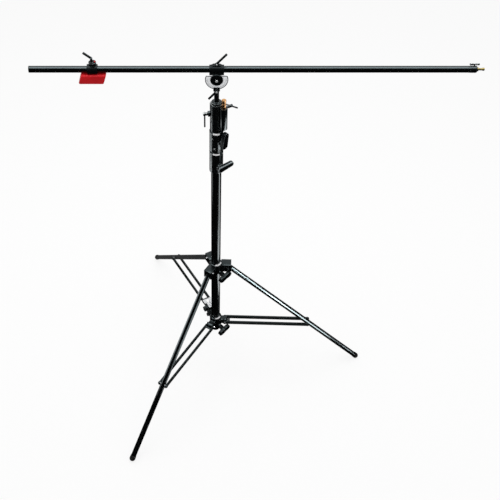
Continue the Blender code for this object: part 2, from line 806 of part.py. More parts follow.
def make_leg_collar():
    bottom = LEG_HINGE_Z - LEG_COLLAR_BELOW
    top = LEG_HINGE_Z + LEG_COLLAR_ABOVE
    collar = make_collar_ring("leg_collar", bottom, top)
    inside = (BASE_TUBE_R + COLLAR_D / 2) / 2
    slot_back = LEG_HINGE_R - LEG_D / 2 - 2 * RUNNING_FIT
    slot_top = top - HOOD_ROOF
    slots = []
    for leg, plane in RADIAL.items():
        hood = block(
            f"hood_{leg}",
            (inside, -HOOD_HALF, LEG_HINGE_Z - HOOD_DROP),
            (HOOD_REACH, HOOD_HALF, top),
            BLACK_CASTING,
            plane,
        )
        join(collar, hood)
        slots.append(
            block(
                f"hood_slot_{leg}",
                (slot_back, -HOOD_SLOT_HALF, bottom),
                (HOOD_REACH + LEG_D, HOOD_SLOT_HALF, slot_top),
                BLACK_CASTING,
                plane,
            )
        )
        slots.append(
            round_bar(
                f"hood_pin_hole_{leg}",
                HINGE_PIN_D / 2 + FIT,
                (LEG_HINGE_R, -HOOD_HALF - FIT, LEG_HINGE_Z),
                (LEG_HINGE_R, HOOD_HALF + FIT, LEG_HINGE_Z),
                BLACK_CASTING,
                plane,
                PIN_SIDES,
            )
        )
        hinge = frame(f"leg_{leg}_pin_frame", plane, (LEG_HINGE_R, 0.0, LEG_HINGE_Z))
        make_pin(f"leg_{leg}_hinge_pin", HOOD_HALF + FIT, hinge)
    knob_axis = add_knob_boss(collar, "leg_collar", bottom + KNOB_ABOVE_EDGE)
    cut(collar, *slots)
    make_wing_knob("leg_collar_knob", knob_axis, LEG_KNOB_TURN)


def make_leg(leg):
    plane = RADIAL[leg]
    hinge = frame(f"leg_{leg}_hinge", plane, (LEG_HINGE_R, 0.0, LEG_HINGE_Z), (0.0, -LEG_ANGLE, 0.0))
    bore = LEG_D / 2 - LEG_WALL
    cup_floor = -LEG_LENGTH + FOOT_SINK
    tube_end = cup_floor + FIT
    tube_name = f"leg_{leg}_tube"
    leg_tube = tube(tube_name, LEG_D, LEG_WALL, tube_end, -LEG_TUBE_START, BLACK_TUBE, hinge, TUBE_SIDES)
    cross_hole = round_bar(
        f"leg_{leg}_cross_hole",
        CROSS_BOLT_D / 2 + FIT,
        (0.0, -LEG_D, -BRACE_POINT),
        (0.0, LEG_D, -BRACE_POINT),
        BLACK_TUBE,
        hinge,
        PIN_SIDES,
    )
    cut(leg_tube, cross_hole)
    round_bar(
        f"leg_{leg}_cross_bolt",
        CROSS_BOLT_D / 2,
        (0.0, -LUG_HALF, -BRACE_POINT),
        (0.0, LUG_HALF, -BRACE_POINT),
        STEEL,
        hinge,
        PIN_SIDES,
    )
    eye_half = LEG_D / 2
    knuckle = round_bar(
        f"leg_{leg}_knuckle",
        LEG_D / 2,
        (0.0, -eye_half, 0.0),
        (0.0, eye_half, 0.0),
        BLACK_CASTING,
        hinge,
        TUBE_SIDES,
    )
    neck = block(
        f"leg_{leg}_knuckle_neck",
        (-bore / 2, -eye_half / 2, -LEG_TUBE_START - KNUCKLE_PLUG / 2),
        (bore / 2, eye_half / 2, 0.0),
        BLACK_CASTING,
        hinge,
    )
    shoulder = round_bar(
        f"leg_{leg}_knuckle_shoulder",
        LEG_D / 2,
        (0.0, 0.0, -LEG_TUBE_START + FIT),
        (0.0, 0.0, -LEG_TUBE_START / 2),
        BLACK_CASTING,
        hinge,
        TUBE_SIDES,
    )
    plug = round_bar(
        f"leg_{leg}_knuckle_plug",
        bore - FIT,
        (0.0, 0.0, -LEG_TUBE_START - KNUCKLE_PLUG),
        (0.0, 0.0, -LEG_TUBE_START / 2 - FIT),
        BLACK_CASTING,
        hinge,
        TUBE_SIDES,
    )
    pin_hole = round_bar(
        f"leg_{leg}_knuckle_hole",
        HINGE_PIN_D / 2 + FIT,
        (0.0, -LEG_D, 0.0),
        (0.0, LEG_D, 0.0),
        BLACK_CASTING,
        hinge,
        PIN_SIDES,
    )
    join(knuckle, neck, shoulder, plug)
    cut(knuckle, pin_hole)
    rim = -LEG_LENGTH + FOOT_LENGTH - FOOT_R
    cup = LEG_D / 2 + FIT
    profile = [(0.0, cup_floor), (cup, cup_floor), (cup, rim), (FOOT_R - FOOT_WALL / 2, rim)]
    profile += [(radius, height - LEG_LENGTH) for radius, height in arc(FOOT_R, 0.0, -90.0, 6)]
    profile[-1] = (0.0, profile[-1][1])
    foot = turned(f"leg_{leg}_foot", profile, RUBBER, hinge, TUBE_SIDES)
    floor_cut = block(
        f"floor_cut_{leg}",
        (FOOT_CIRCLE_R - FOOT_D, -FOOT_D, -FOOT_D),
        (FOOT_CIRCLE_R + FOOT_D, FOOT_D, 0.0),
        RUBBER,
        plane,
    )
    cut(foot, floor_cut)


def make_brace(leg, pivot_r, pivot_z, spacer_at):
    """A pair of flat bars from the brace pivot to the leg, with a spacer and rivet heads at the outer end."""
    run = BRACE_POINT_R - pivot_r
    rise = BRACE_POINT_Z - pivot_z
    length = math.hypot(run, rise)
    slope = math.atan2(rise, run)
    pivot = frame(f"brace_{leg}_pivot", RADIAL[leg], (pivot_r, 0.0, pivot_z), (0.0, -slope, 0.0))
    half = BRACE_HEIGHT / 2
    outline = arc(half, 90.0, 270.0, 8) + arc(half, -90.0, 90.0, 8, (length, 0.0))
    pin_hole = circle(HINGE_PIN_D / 2 + FIT, PIN_SIDES)
    brace = plate(
        f"brace_{leg}", [outline, pin_hole], -BRACE_OUTER_Y, -BRACE_INNER_Y, BLACK_TUBE, pivot, SIDEWAYS
    )
    middle = (BRACE_INNER_Y + BRACE_OUTER_Y) / 2
    head = round_bar(
        f"brace_{leg}_rivet_head",
        RIVET_HEAD_D / 2,
        (length, middle, 0.0),
        (length, BRACE_OUTER_Y + PIN_HEAD, 0.0),
        STEEL,
        pivot,
        PIN_SIDES,
    )
    spacer = round_bar(
        f"brace_{leg}_spacer",
        SPACER_D / 2,
        (spacer_at, -middle, 0.0),
        (spacer_at, middle, 0.0),
        BLACK_TUBE,
        pivot,
        PIN_SIDES,
    )
    join(brace, head)
    mirror_pair(brace)
    join(brace, spacer)


def make_brace_collar():
    bottom = BRACE_PIVOT_Z - BRACE_COLLAR_BELOW
    top = BRACE_PIVOT_Z + BRACE_COLLAR_ABOVE
    collar = make_collar_ring("brace_collar", bottom, top)
    inside = (BASE_TUBE_R + COLLAR_D / 2) / 2
    holes = []
    for leg in ("a", "b"):
        plane = RADIAL[leg]
        tongue = block(
            f"brace_tongue_{leg}",
            (inside, -LUG_HALF + FIT, BRACE_PIVOT_Z - TONGUE_R + RUNNING_FIT),
            (BRACE_PIVOT_R, LUG_HALF - FIT, BRACE_PIVOT_Z + TONGUE_R - RUNNING_FIT),
            BLACK_CASTING,
            plane,
        )
        eye = round_bar(
            f"brace_eye_{leg}",
            TONGUE_R,
            (BRACE_PIVOT_R, -LUG_HALF, BRACE_PIVOT_Z),
            (BRACE_PIVOT_R, LUG_HALF, BRACE_PIVOT_Z),
            BLACK_CASTING,
            plane,
            TUBE_SIDES,
        )
        join(collar, tongue, eye)
        holes.append(
            round_bar(
                f"brace_pin_hole_{leg}",
                HINGE_PIN_D / 2 + FIT,
                (BRACE_PIVOT_R, -HOOD_HALF, BRACE_PIVOT_Z),
                (BRACE_PIVOT_R, HOOD_HALF, BRACE_PIVOT_Z),
                BLACK_CASTING,
                plane,
                PIN_SIDES,
            )
        )
        pivot = frame(f"brace_{leg}_pin_frame", plane, (BRACE_PIVOT_R, 0.0, BRACE_PIVOT_Z))
        make_pin(f"brace_{leg}_pin", BRACE_OUTER_Y + FIT, pivot)
    lug_top = BRACE_PIVOT_Z + LEVEL_LUG_ABOVE
    bar_in = LEVEL_PIVOT_R - LEVEL_BAR_WIDTH / 2
    bar_out = LEVEL_PIVOT_R + LEVEL_BAR_WIDTH / 2
    seat = lug_top - LEVEL_SEAT_DEPTH
    lug = block(
        "level_lug",
        (inside, -LUG_HALF, BRACE_PIVOT_Z - TONGUE_R),
        (bar_out + HOOD_WALL, LUG_HALF, lug_top),
        BLACK_CASTING,
        RADIAL["c"],
    )
    half = LEVEL_BAR_THICKNESS / 2
    groove = block(
        "level_groove",
        (bar_in - FIT, -half - FIT, seat - FIT),
        (bar_out + FIT, half + FIT, top + LEVEL_SEAT_DEPTH),
        BLACK_CASTING,
        RADIAL["c"],
    )
    boss = round_bar(
        "level_lug_boss",
        LEVEL_BOSS_D / 2,
        (LEVEL_PIVOT_R - LEVEL_BOSS_INSET, half, BRACE_PIVOT_Z),
        (LEVEL_PIVOT_R - LEVEL_BOSS_INSET, LUG_HALF + LEVEL_BOSS_OUT, BRACE_PIVOT_Z),
        BLACK_CASTING,
        RADIAL["c"],
    )
    join(collar, lug, boss)
    knob_axis = add_knob_boss(collar, "brace_collar", bottom + KNOB_ABOVE_EDGE)
    cut(collar, groove, *holes)
    make_wing_knob("brace_collar_knob", knob_axis, BRACE_KNOB_TURN)
    make_level_slide(bar_in, bar_out, seat)


def make_level_slide(bar_in, bar_out, seat):
    """The slotted bar that the back brace's pivot slides in, with the pivot's slider, pin and knob."""
    half = LEVEL_BAR_THICKNESS / 2
    pin = HINGE_PIN_D / 2
    slot_half = LEVEL_TRAVEL + pin + RUNNING_FIT
    slot_side = pin + FIT
    outline = [(bar_in, seat), (bar_out, seat), (bar_out, LEVEL_BAR_TOP), (bar_in, LEVEL_BAR_TOP)]
    slot = arc(slot_side, 0.0, 180.0, 6, (LEVEL_PIVOT_R, LEVEL_PIVOT_Z + slot_half - slot_side))
    slot += arc(slot_side, 180.0, 360.0, 6, (LEVEL_PIVOT_R, LEVEL_PIVOT_Z - slot_half + slot_side))
    plate("level_bar", [outline, slot], -half, half, STEEL, RADIAL["c"], SIDEWAYS)
    slider = frame("level_slider_frame", RADIAL["c"], (LEVEL_PIVOT_R, 0.0, LEVEL_PIVOT_Z))
    across = frame("level_pivot_axis", slider, (0.0, 0.0, 0.0), (-math.pi / 2, 0.0, 0.0))
    wrap = block(
        "level_slider",
        (-LEVEL_SLIDER_HEIGHT / 2, -LUG_HALF, -LEVEL_SLIDER_HEIGHT / 2),
        (LEVEL_BAR_WIDTH / 2 + FIT + LEVEL_SLIDER_WALL, LUG_HALF, LEVEL_SLIDER_HEIGHT / 2),
        STEEL,
        slider,
    )
    channel = block(
        "level_slider_channel",
        (-LEVEL_BAR_WIDTH, -half - FIT, -LEVEL_SLIDER_HEIGHT),
        (LEVEL_BAR_WIDTH / 2 + FIT, half + FIT, LEVEL_SLIDER_HEIGHT),
        STEEL,
        slider,
    )
    pivot_hole = round_bar(
        "level_slider_hole",
        pin + FIT,
        (0.0, -2 * LUG_HALF, 0.0),
        (0.0, 2 * LUG_HALF, 0.0),
        STEEL,
        slider,
        PIN_SIDES,
    )
    cut(wrap, channel, pivot_hole)
    knob_start = BRACE_OUTER_Y + FIT
    knob_end = knob_start + LEVEL_KNOB_DEPTH
    pin_end = knob_end - PIN_HEAD
    profile = [
        (0.0, pin_end),
        (pin, pin_end),
        (pin, -knob_start),
        (PIN_HEAD_D / 2, -knob_start),
        (PIN_HEAD_D / 2, -knob_start - PIN_HEAD),
        (0.0, -knob_start - PIN_HEAD),
    ]
    turned("level_pin", profile, STEEL, across, PIN_SIDES)
    steps = LEVEL_KNOB_LOBES * SMALL_SIDES // 2
    angles = [2 * math.pi * step / steps for step in range(steps)]
    lobe = LEVEL_KNOB_D / 20
    rim = LEVEL_KNOB_D / 2 - lobe
    reach = [rim + lobe * math.cos(LEVEL_KNOB_LOBES * angle) for angle in angles]
    outline = [(r * math.cos(angle), r * math.sin(angle)) for r, angle in zip(reach, angles)]
    knob = plate("level_knob", [outline], knob_start, knob_end, BLACK_PLASTIC, across)
    pin_hole = round_bar(
        "level_knob_hole",
        pin + FIT,
        (0.0, 0.0, knob_start - FIT),
        (0.0, 0.0, pin_end + FIT),
        BLACK_PLASTIC,
        across,
        PIN_SIDES,
    )
    cut(knob, pin_hole)


def make_boom_spigot():
    flange_bottom = HEAD_TOP + FIT
    neck_top = TILT_Z - YOKE_BLOCK_BELOW - FIT
    plug_bottom = HEAD_BOTTOM + HEAD_SEAT + HEAD_FLOOR + FIT
    plug = SPIGOT_D / 2
    neck = SPIGOT_NECK_D / 2
    flange = SPIGOT_FLANGE_D / 2
    pin = SPIGOT_PIN_D / 2
    profile = [
        (0.0, neck_top + SPIGOT_PIN_LENGTH),
        (pin, neck_top + SPIGOT_PIN_LENGTH),
        (pin, neck_top),
        (neck, neck_top),
        (neck, flange_bottom + SPIGOT_FLANGE),
        (flange, flange_bottom + SPIGOT_FLANGE),
        (flange, flange_bottom),
        (plug, flange_bottom),
        (plug, plug_bottom),
        (0.0, plug_bottom),
    ]
    turned("boom_spigot", profile, BLACK_CASTING, STAND, COLUMN_SIDES)


def make_swivel_yoke(boom):
    """A block that swivels on the spigot, with two cheeks that carry the tilt bolt."""
    tilt = frame("tilt_axis", boom, (0.0, 0.0, -TILT_DROP))
    half = YOKE_WIDTH / 2
    front = -YOKE_BLOCK_FRONT
    bottom = -YOKE_BLOCK_BELOW
    block_top = -YOKE_BLOCK_TOP
    corners = (-half, front, bottom), (half, YOKE_HALF_DEPTH, block_top)
    yoke = block("swivel_yoke", *corners, BLACK_CASTING, tilt)
    gap = TONGUE_HALF + FIT
    for side, near, far in (("front", -YOKE_HALF_DEPTH, -gap), ("back", gap, YOKE_HALF_DEPTH)):
        stem_foot = (bottom + block_top) / 2
        stem = block(f"yoke_stem_{side}", (-half, near, stem_foot), (half, far, 0.0), BLACK_CASTING, tilt)
        ends = (0.0, near, 0.0), (0.0, far, 0.0)
        eye = round_bar(f"yoke_eye_{side}", YOKE_CHEEK_D / 2, *ends, BLACK_CASTING, tilt, TUBE_SIDES)
        join(yoke, stem, eye)
    pin_hole = round_bar(
        "yoke_pin_hole",
        SPIGOT_PIN_D / 2 + FIT,
        (0.0, 0.0, bottom - FIT),
        (0.0, 0.0, bottom + SPIGOT_PIN_LENGTH + FIT),
        BLACK_CASTING,
        tilt,
        SMALL_SIDES,
    )
    screw_hole = round_bar(
        "yoke_screw_hole",
        HEAD_TEE_SCREW_D / 2 + FIT,
        (0.0, front - FIT, -SWIVEL_TEE_DROP),
        (0.0, 0.0, -SWIVEL_TEE_DROP),
        BLACK_CASTING,
        tilt,
        PIN_SIDES,
    )
    bolt_hole = round_bar(
        "yoke_bolt_hole",
        TILT_BOLT_D / 2 + FIT,
        (0.0, front, 0.0),
        (0.0, -front, 0.0),
        BLACK_CASTING,
        tilt,
        PIN_SIDES,
    )
    cut(yoke, pin_hole, screw_hole, bolt_hole)
    lock = frame("swivel_tee_axis", tilt, (0.0, 0.0, -SWIVEL_TEE_DROP), (math.pi / 2, 0.0, 0.0))
    make_tee(
        "swivel_tee",
        lock,
        SPIGOT_PIN_D / 2 + FIT,
        SWIVEL_TEE_REACH,
        -TEE_HEAD_D / 4,
        SWIVEL_BAR_LENGTH,
        SWIVEL_TEE_TURN,
        HEAD_TEE_SCREW_D,
        BLACK_CASTING,
        SWIVEL_BAR_D,
    )
    return tilt


def make_protractor(tilt):
    """A half-round angle plate on the yoke's front cheek, notched around the yoke's block."""
    notch = YOKE_WIDTH / 2 + FIT
    notch_top = -YOKE_BLOCK_TOP + FIT
    notch_angle = math.degrees(math.asin(notch / PROTRACTOR_R))
    level = PROTRACTOR_RISE - PROTRACTOR_CORNER
    corner = math.sqrt(PROTRACTOR_R**2 - level**2) - PROTRACTOR_CORNER
    rise_angle = math.degrees(math.asin(level / PROTRACTOR_R))
    outline = arc(PROTRACTOR_CORNER, 90.0, 180.0, 4, (-corner, level))[:-1]
    outline += arc(PROTRACTOR_R, 180.0 - rise_angle, 270.0 - notch_angle, 14)
    outline += [(-notch, notch_top), (notch, notch_top)]
    outline += arc(PROTRACTOR_R, 270.0 + notch_angle, 360.0 + rise_angle, 14)
    outline += arc(PROTRACTOR_CORNER, 0.0, 90.0, 4, (corner, level))[1:]
    hole = circle(TILT_BOLT_D / 2 + FIT, PIN_SIDES)
    plate("protractor_plate", [outline, hole], PROTRACTOR_BACK, PROTRACTOR_FRONT, ALUMINIUM, tilt, SIDEWAYS)


def make_tilt_bolt(tilt):
    across = frame("tilt_bolt_axis", tilt, (0.0, 0.0, 0.0), (math.pi / 2, 0.0, 0.0))
    shaft = TILT_BOLT_D / 2
    head = TILT_BOLT_HEAD_D / 2
    front = TILT_DISC_FRONT + FIT
    back = -YOKE_HALF_DEPTH - FIT
    profile = [
        (0.0, front + TILT_BOLT_HEAD),
        (head, front + TILT_BOLT_HEAD),
        (head, front),
        (shaft, front),
        (shaft, back),
        (head, back),
        (head, back - TILT_BOLT_HEAD),
        (0.0, back - TILT_BOLT_HEAD),
    ]
    turned("tilt_bolt", profile, STEEL, across, PIN_SIDES)
    disc = TILT_DISC_D / 2
    bore = shaft + FIT
    ring = [(disc, TILT_DISC_FRONT), (disc, TILT_DISC_BACK), (bore, TILT_DISC_BACK), (bore, TILT_DISC_FRONT)]
    turned("tilt_disc", ring, BLACK_CASTING, across, COLUMN_SIDES, True)


def make_boom_clamp(boom, tilt):
    """The clamp around the boom, with the tongue that tilts between the yoke's cheeks."""
    half = CLAMP_BODY_LENGTH / 2
    wall_r = BOOM_BORE_R + CLAMP_BODY_WALL
    under = CLAMP_BODY_UNDER - TILT_DROP
    ends = (-half, 0.0, 0.0), (half, 0.0, 0.0)
    clamp = round_bar("boom_clamp", wall_r, *ends, BLACK_CASTING, boom, TUBE_SIDES)
    base = block("clamp_base", (-half, -wall_r + FIT, under), (half, wall_r - FIT, 0.0), BLACK_CASTING, boom)
    foot = CLAMP_CROWN_LENGTH / 2
    head = CLAMP_CROWN_TOP_LENGTH / 2
    depth = CLAMP_CROWN_HALF
    shoulders = [(-foot, BOOM_R / 2), (foot, BOOM_R / 2), (foot, BOOM_R), (head, CLAMP_CROWN_TOP)]
    shoulders += [(-head, CLAMP_CROWN_TOP), (-foot, BOOM_R)]
    crown = plate("clamp_crown", [shoulders], -depth, depth, BLACK_CASTING, boom, SIDEWAYS)
    tongue = round_bar(
        "clamp_tongue",
        TONGUE_D / 2,
        (0.0, -TONGUE_HALF, 0.0),
        (0.0, TONGUE_HALF, 0.0),
        BLACK_CASTING,
        tilt,
        TUBE_SIDES,
    )
    web = block(
        "clamp_web",
        (-TONGUE_D / 2 + FIT, -TONGUE_HALF + FIT, 0.0),
        (TONGUE_D / 2 - FIT, TONGUE_HALF - FIT, TILT_DROP - BOOM_R / 2),
        BLACK_CASTING,
        tilt,
    )
    join(clamp, base, crown, tongue, web)
    through = (-2 * half, 0.0, 0.0), (2 * half, 0.0, 0.0)
    bore = round_bar("clamp_bore", BOOM_BORE_R, *through, BLACK_CASTING, boom, TUBE_SIDES)
    screw = HEAD_TEE_SCREW_D / 2
    drilled = (0.0, 0.0, 0.0), (0.0, 0.0, 2 * CLAMP_CROWN_TOP)
    screw_hole = round_bar("clamp_screw_hole", screw + FIT, *drilled, BLACK_CASTING, boom, PIN_SIDES)
    bolt_hole = round_bar(
        "clamp_bolt_hole",
        TILT_BOLT_D / 2 + FIT,
        (0.0, -2 * TONGUE_HALF, 0.0),
        (0.0, 2 * TONGUE_HALF, 0.0),
        BLACK_CASTING,
        tilt,
        PIN_SIDES,
    )
    cut(clamp, bore, screw_hole, bolt_hole)
    make_boom_lever(boom)


def make_boom_lever(boom):
    """The lever screw that presses on the boom from above: a domed hub with a slanting arm."""
    screw = HEAD_TEE_SCREW_D / 2
    hub = BOOM_LEVER_HUB_D / 2
    bottom = CLAMP_CROWN_TOP + FIT
    top = bottom + BOOM_LEVER_HUB
    tip = BOOM_R + 2 * FIT
    profile = [
        (0.0, top),
        (hub / 2, top),
        (hub, top - hub / 2),
        (hub, bottom),
        (screw, bottom),
        (screw, tip),
        (0.0, tip),
    ]
    lever = turned("boom_lever", profile, BLACK_CASTING, boom, SMALL_SIDES)
    slant = math.radians(BOOM_LEVER_ANGLE)
    root = (bottom + top) / 2
    end = (BOOM_LEVER_LENGTH * math.cos(slant), 0.0, root + BOOM_LEVER_LENGTH * math.sin(slant))
    arm = round_bar("boom_lever_arm", BOOM_LEVER_D / 2, (0.0, 0.0, root), end, BLACK_CASTING, boom, PIN_SIDES)
    join(lever, arm)


def make_boom(boom):
    along = frame("boom_slide_axis", boom, (0.0, 0.0, 0.0), (0.0, math.pi / 2, 0.0))
    tube("boom_tube", BOOM_D, BOOM_WALL, -BOOM_TAIL, BOOM_NOSE, BLACK_TUBE, along, TUBE_SIDES)
    plug = BOOM_R - BOOM_WALL - FIT
    tail = -BOOM_TAIL
    cap_profile = [
        (0.0, tail + PLUG_LENGTH),
        (plug, tail + PLUG_LENGTH),
        (plug, tail - FIT),
        (BOOM_R, tail - FIT),
        (BOOM_R, TAIL_X),
        (0.0, TAIL_X),
    ]
    turned("boom_tail_cap", cap_profile, BLACK_PLASTIC, along, TUBE_SIDES)
    shank = END_SPIGOT_D / 2
    bore = shank + FIT
    bore_end = BOOM_END - END_SPIGOT_SHANK - FIT
    shell = END_FITTING_D / 2
    rounding = shell / 3
    start = BOOM_NOSE + FIT
    fitting_profile = [
        (0.0, bore_end),
        (bore, bore_end),
        (bore, BOOM_END),
        *[(shell - rounding + x, BOOM_END - rounding + y) for x, y in arc(rounding, 90.0, 0.0, 4)],
        (shell, start),
        (plug, start),
        (plug, BOOM_NOSE - END_FITTING_PLUG),
        (0.0, BOOM_NOSE - END_FITTING_PLUG),
    ]
    fitting = turned("boom_end_fitting", fitting_profile, BLACK_CASTING, along, TUBE_SIDES)
    wing_x = BOOM_END - WING_SCREW_BACK
    wing_axis = frame("wing_screw_axis", boom, (wing_x, 0.0, 0.0))
    screw = WING_SCREW_D / 2
    depth = (0.0, 0.0, 0.0), (0.0, 0.0, END_FITTING_D)
    wing_hole = round_bar("wing_screw_hole", screw + FIT, *depth, BLACK_CASTING, wing_axis, PIN_SIDES)
    cut(fitting, wing_hole)
    wing_top = WING_RISE + WING_HEIGHT
    wing_screw = round_bar(
        "boom_end_wing_screw",
        screw,
        (0.0, 0.0, shank + FIT),
        (0.0, 0.0, wing_top - WING_HEIGHT / 4),
        BLACK_PLASTIC,
        wing_axis,
        PIN_SIDES,
    )
    half_span = WING_SPAN / 2
    wings = arc(WING_HEIGHT / 2, -90.0, 90.0, 6, (half_span - WING_HEIGHT / 2, WING_RISE + WING_HEIGHT / 2))
    wings += [(0.0, wing_top - WING_HEIGHT / 8)]
    wings += arc(WING_HEIGHT / 2, 90.0, 270.0, 6, (WING_HEIGHT / 2 - half_span, WING_RISE + WING_HEIGHT / 2))
    wings += [(0.0, WING_RISE + WING_HEIGHT / 8)]
    wing_plate = plate(
        "wing_plate", [wings], -WING_THICKNESS / 2, WING_THICKNESS / 2, BLACK_PLASTIC, wing_axis, SIDEWAYS
    )
    join(wing_screw, wing_plate)
    flange_start = BOOM_END + FIT
    flange_end = flange_start + END_SPIGOT_FLANGE
    tip = flange_end + END_SPIGOT_SHANK
    groove = END_SPIGOT_GROOVE
    spigot_profile = [
        (0.0, tip),
        (shank - groove / 2, tip),
        (shank, tip - groove),
        (shank, tip - 4 * groove),
        (shank - groove, tip - 6 * groove),
        (shank - groove, flange_end + 3 * groove),
        (shank, flange_end + groove),
        (shank, flange_end),
        (END_SPIGOT_FLANGE_D / 2, flange_end),
        (END_SPIGOT_FLANGE_D / 2, flange_start),
        (shank, flange_start),
        (shank, BOOM_END - END_SPIGOT_SHANK),
        (0.0, BOOM_END - END_SPIGOT_SHANK),
    ]
    turned("boom_end_spigot", spigot_profile, BRASS, along, SMALL_SIDES)


def make_counterweight(boom):
    """A slanted iron block under the boom, hung from a ring clamp with a lever screw and a release button."""
    top = -BOOM_BORE_R
    bottom = top - WEIGHT_HEIGHT
    half = WEIGHT_LENGTH / 2
    corner = WEIGHT_CORNER
    low_left = (WEIGHT_X - half - WEIGHT_SLANT + corner, bottom + corner)
    low_right = (WEIGHT_X + half - WEIGHT_SLANT - corner, bottom + corner)
    outline = [(WEIGHT_X + half, top), (WEIGHT_X - half, top)]
    outline += arc(corner, 165.0, 270.0, 4, low_left)
    outline += arc(corner, 270.0, 345.0, 4, low_right)
    depth = WEIGHT_DEPTH / 2
    plate("counterweight", [outline], -depth, depth, RED, boom, SIDEWAYS)
    ring_half = WEIGHT_RING_LENGTH / 2
    ring_r = BOOM_BORE_R + WEIGHT_RING_WALL
    ring_left = WEIGHT_RING_X - ring_half
    ring_right = WEIGHT_RING_X + ring_half
    clamp = round_bar(
        "weight_clamp", ring_r, (ring_left, 0.0, 0.0), (ring_right, 0.0, 0.0), BLACK_CASTING, boom, TUBE_SIDES
    )
    under_cut = block(
        "weight_ring_under",
        (ring_left - FIT, -WEIGHT_DEPTH, bottom),
        (ring_right + FIT, WEIGHT_DEPTH, top + FIT),
        BLACK_CASTING,
        boom,
    )
    bore = round_bar(
        "weight_bore",
        BOOM_BORE_R,
        (WEIGHT_X - WEIGHT_LENGTH, 0.0, 0.0),
        (WEIGHT_X + WEIGHT_LENGTH, 0.0, 0.0),
        BLACK_CASTING,
        boom,
        TUBE_SIDES,
    )
    lever_axis = frame("weight_lever_axis", boom, (WEIGHT_LEVER_X, 0.0, 0.0))
    screw = LEVER_SCREW_D / 2
    drilled = (0.0, 0.0, 0.0), (0.0, 0.0, 2 * ring_r)
    screw_hole = round_bar("weight_screw_hole", screw + FIT, *drilled, BLACK_CASTING, lever_axis, PIN_SIDES)
    cut(clamp, under_cut, bore, screw_hole)
    hub = WEIGHT_HUB_D / 2
    hub_bottom = ring_r + FIT
    hub_top = hub_bottom + WEIGHT_HUB
    hub_profile = [
        (0.0, hub_top),
        (hub, hub_top),
        (hub, hub_bottom),
        (screw, hub_bottom),
        (screw, BOOM_R + 2 * FIT),
        (0.0, BOOM_R + 2 * FIT),
    ]
    lever = turned("weight_lever", hub_profile, BLACK_PLASTIC, lever_axis, SMALL_SIDES)
    arm_r = WEIGHT_LEVER_D / 2
    elbow = (-arm_r / 2, 0.0, hub_top + WEIGHT_LEVER_RISE)
    tip = (-WEIGHT_LEVER_REACH, 0.0, hub_bottom + WEIGHT_LEVER_TIP_RISE)
    neck = round_bar(
        "weight_lever_neck",
        arm_r,
        (-arm_r / 2, 0.0, hub_top - WEIGHT_HUB / 2),
        (elbow[0], 0.0, elbow[2] + arm_r / 2),
        BLACK_PLASTIC,
        lever_axis,
        PIN_SIDES,
    )
    arm = round_bar("weight_lever_arm", arm_r - FIT, elbow, tip, BLACK_PLASTIC, lever_axis, PIN_SIDES)
    button_hole = round_bar(
        "weight_button_hole",
        WEIGHT_BUTTON_D / 2 + FIT,
        (WEIGHT_BUTTON_OFFSET, 0.0, hub_top - WEIGHT_BUTTON_DEPTH),
        (WEIGHT_BUTTON_OFFSET, 0.0, hub_top + FIT),
        BLACK_PLASTIC,
        lever_axis,
        PIN_SIDES,
    )
    join(lever, neck, arm)
    cut(lever, button_hole)
    round_bar(
        "weight_button",
        WEIGHT_BUTTON_D / 2,
        (WEIGHT_BUTTON_OFFSET, 0.0, hub_top - WEIGHT_BUTTON_DEPTH + WEIGHT_BUTTON_OUT),
        (WEIGHT_BUTTON_OFFSET, 0.0, hub_top + WEIGHT_BUTTON_OUT),
        RED,
        lever_axis,
        PIN_SIDES,
    )


def main():
    make_column_tubes()
    make_clamps()
    make_socket_head()
    make_leg_collar()
    for leg in LEG_AZIMUTHS:
        make_leg(leg)
    make_brace_collar()
    spacer_at = TONGUE_R + RUNNING_FIT + SPACER_D / 2
    make_brace("a", BRACE_PIVOT_R, BRACE_PIVOT_Z, spacer_at)
    make_brace("b", BRACE_PIVOT_R, BRACE_PIVOT_Z, spacer_at)
    make_brace("c", LEVEL_PIVOT_R, LEVEL_PIVOT_Z, LEVEL_SPACER_AT)
    make_boom_spigot()
    boom = frame("boom_axis", STAND, (0.0, 0.0, BOOM_Z))
    tilt = make_swivel_yoke(boom)
    make_protractor(tilt)
    make_tilt_bolt(tilt)
    make_boom_clamp(boom, tilt)
    make_boom(boom)
    make_counterweight(boom)


main()
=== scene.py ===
"""Looks of the boom stand: finishes, softened castings, trim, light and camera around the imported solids."""

import math

import bmesh
import bpy
from mathutils import Matrix, Vector


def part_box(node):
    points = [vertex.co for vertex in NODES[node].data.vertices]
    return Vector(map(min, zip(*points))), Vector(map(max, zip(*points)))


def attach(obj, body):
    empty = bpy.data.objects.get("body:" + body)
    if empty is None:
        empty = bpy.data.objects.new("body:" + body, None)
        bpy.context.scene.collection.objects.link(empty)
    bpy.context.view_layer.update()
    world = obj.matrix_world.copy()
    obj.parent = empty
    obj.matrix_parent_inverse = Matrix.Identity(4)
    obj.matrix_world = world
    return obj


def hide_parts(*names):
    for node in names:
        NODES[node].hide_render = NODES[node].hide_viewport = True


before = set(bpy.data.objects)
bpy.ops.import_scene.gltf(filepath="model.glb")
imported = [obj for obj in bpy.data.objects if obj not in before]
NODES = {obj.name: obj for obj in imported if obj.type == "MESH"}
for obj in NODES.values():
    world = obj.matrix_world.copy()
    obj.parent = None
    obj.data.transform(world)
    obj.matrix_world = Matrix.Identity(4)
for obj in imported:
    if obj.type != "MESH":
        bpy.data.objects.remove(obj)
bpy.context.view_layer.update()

# Camera of the photograph, from the foot of the column
CAMERA_OFFSET = (-0.01225, -2.1198, 3.0967)
CAMERA_PITCH = 48.2
CAMERA_LENS = 56.08
CAMERA_SENSOR = 36.0
CAMERA_SHIFT = 0.0742

# Azimuths round the column, in degrees
LEG_AZIMUTHS = {"a": -122.6, "b": -2.6, "c": 117.4}
FULL_TURN = 360.0


def middle(node):
    low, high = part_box(node)
    return (low + high) / 2


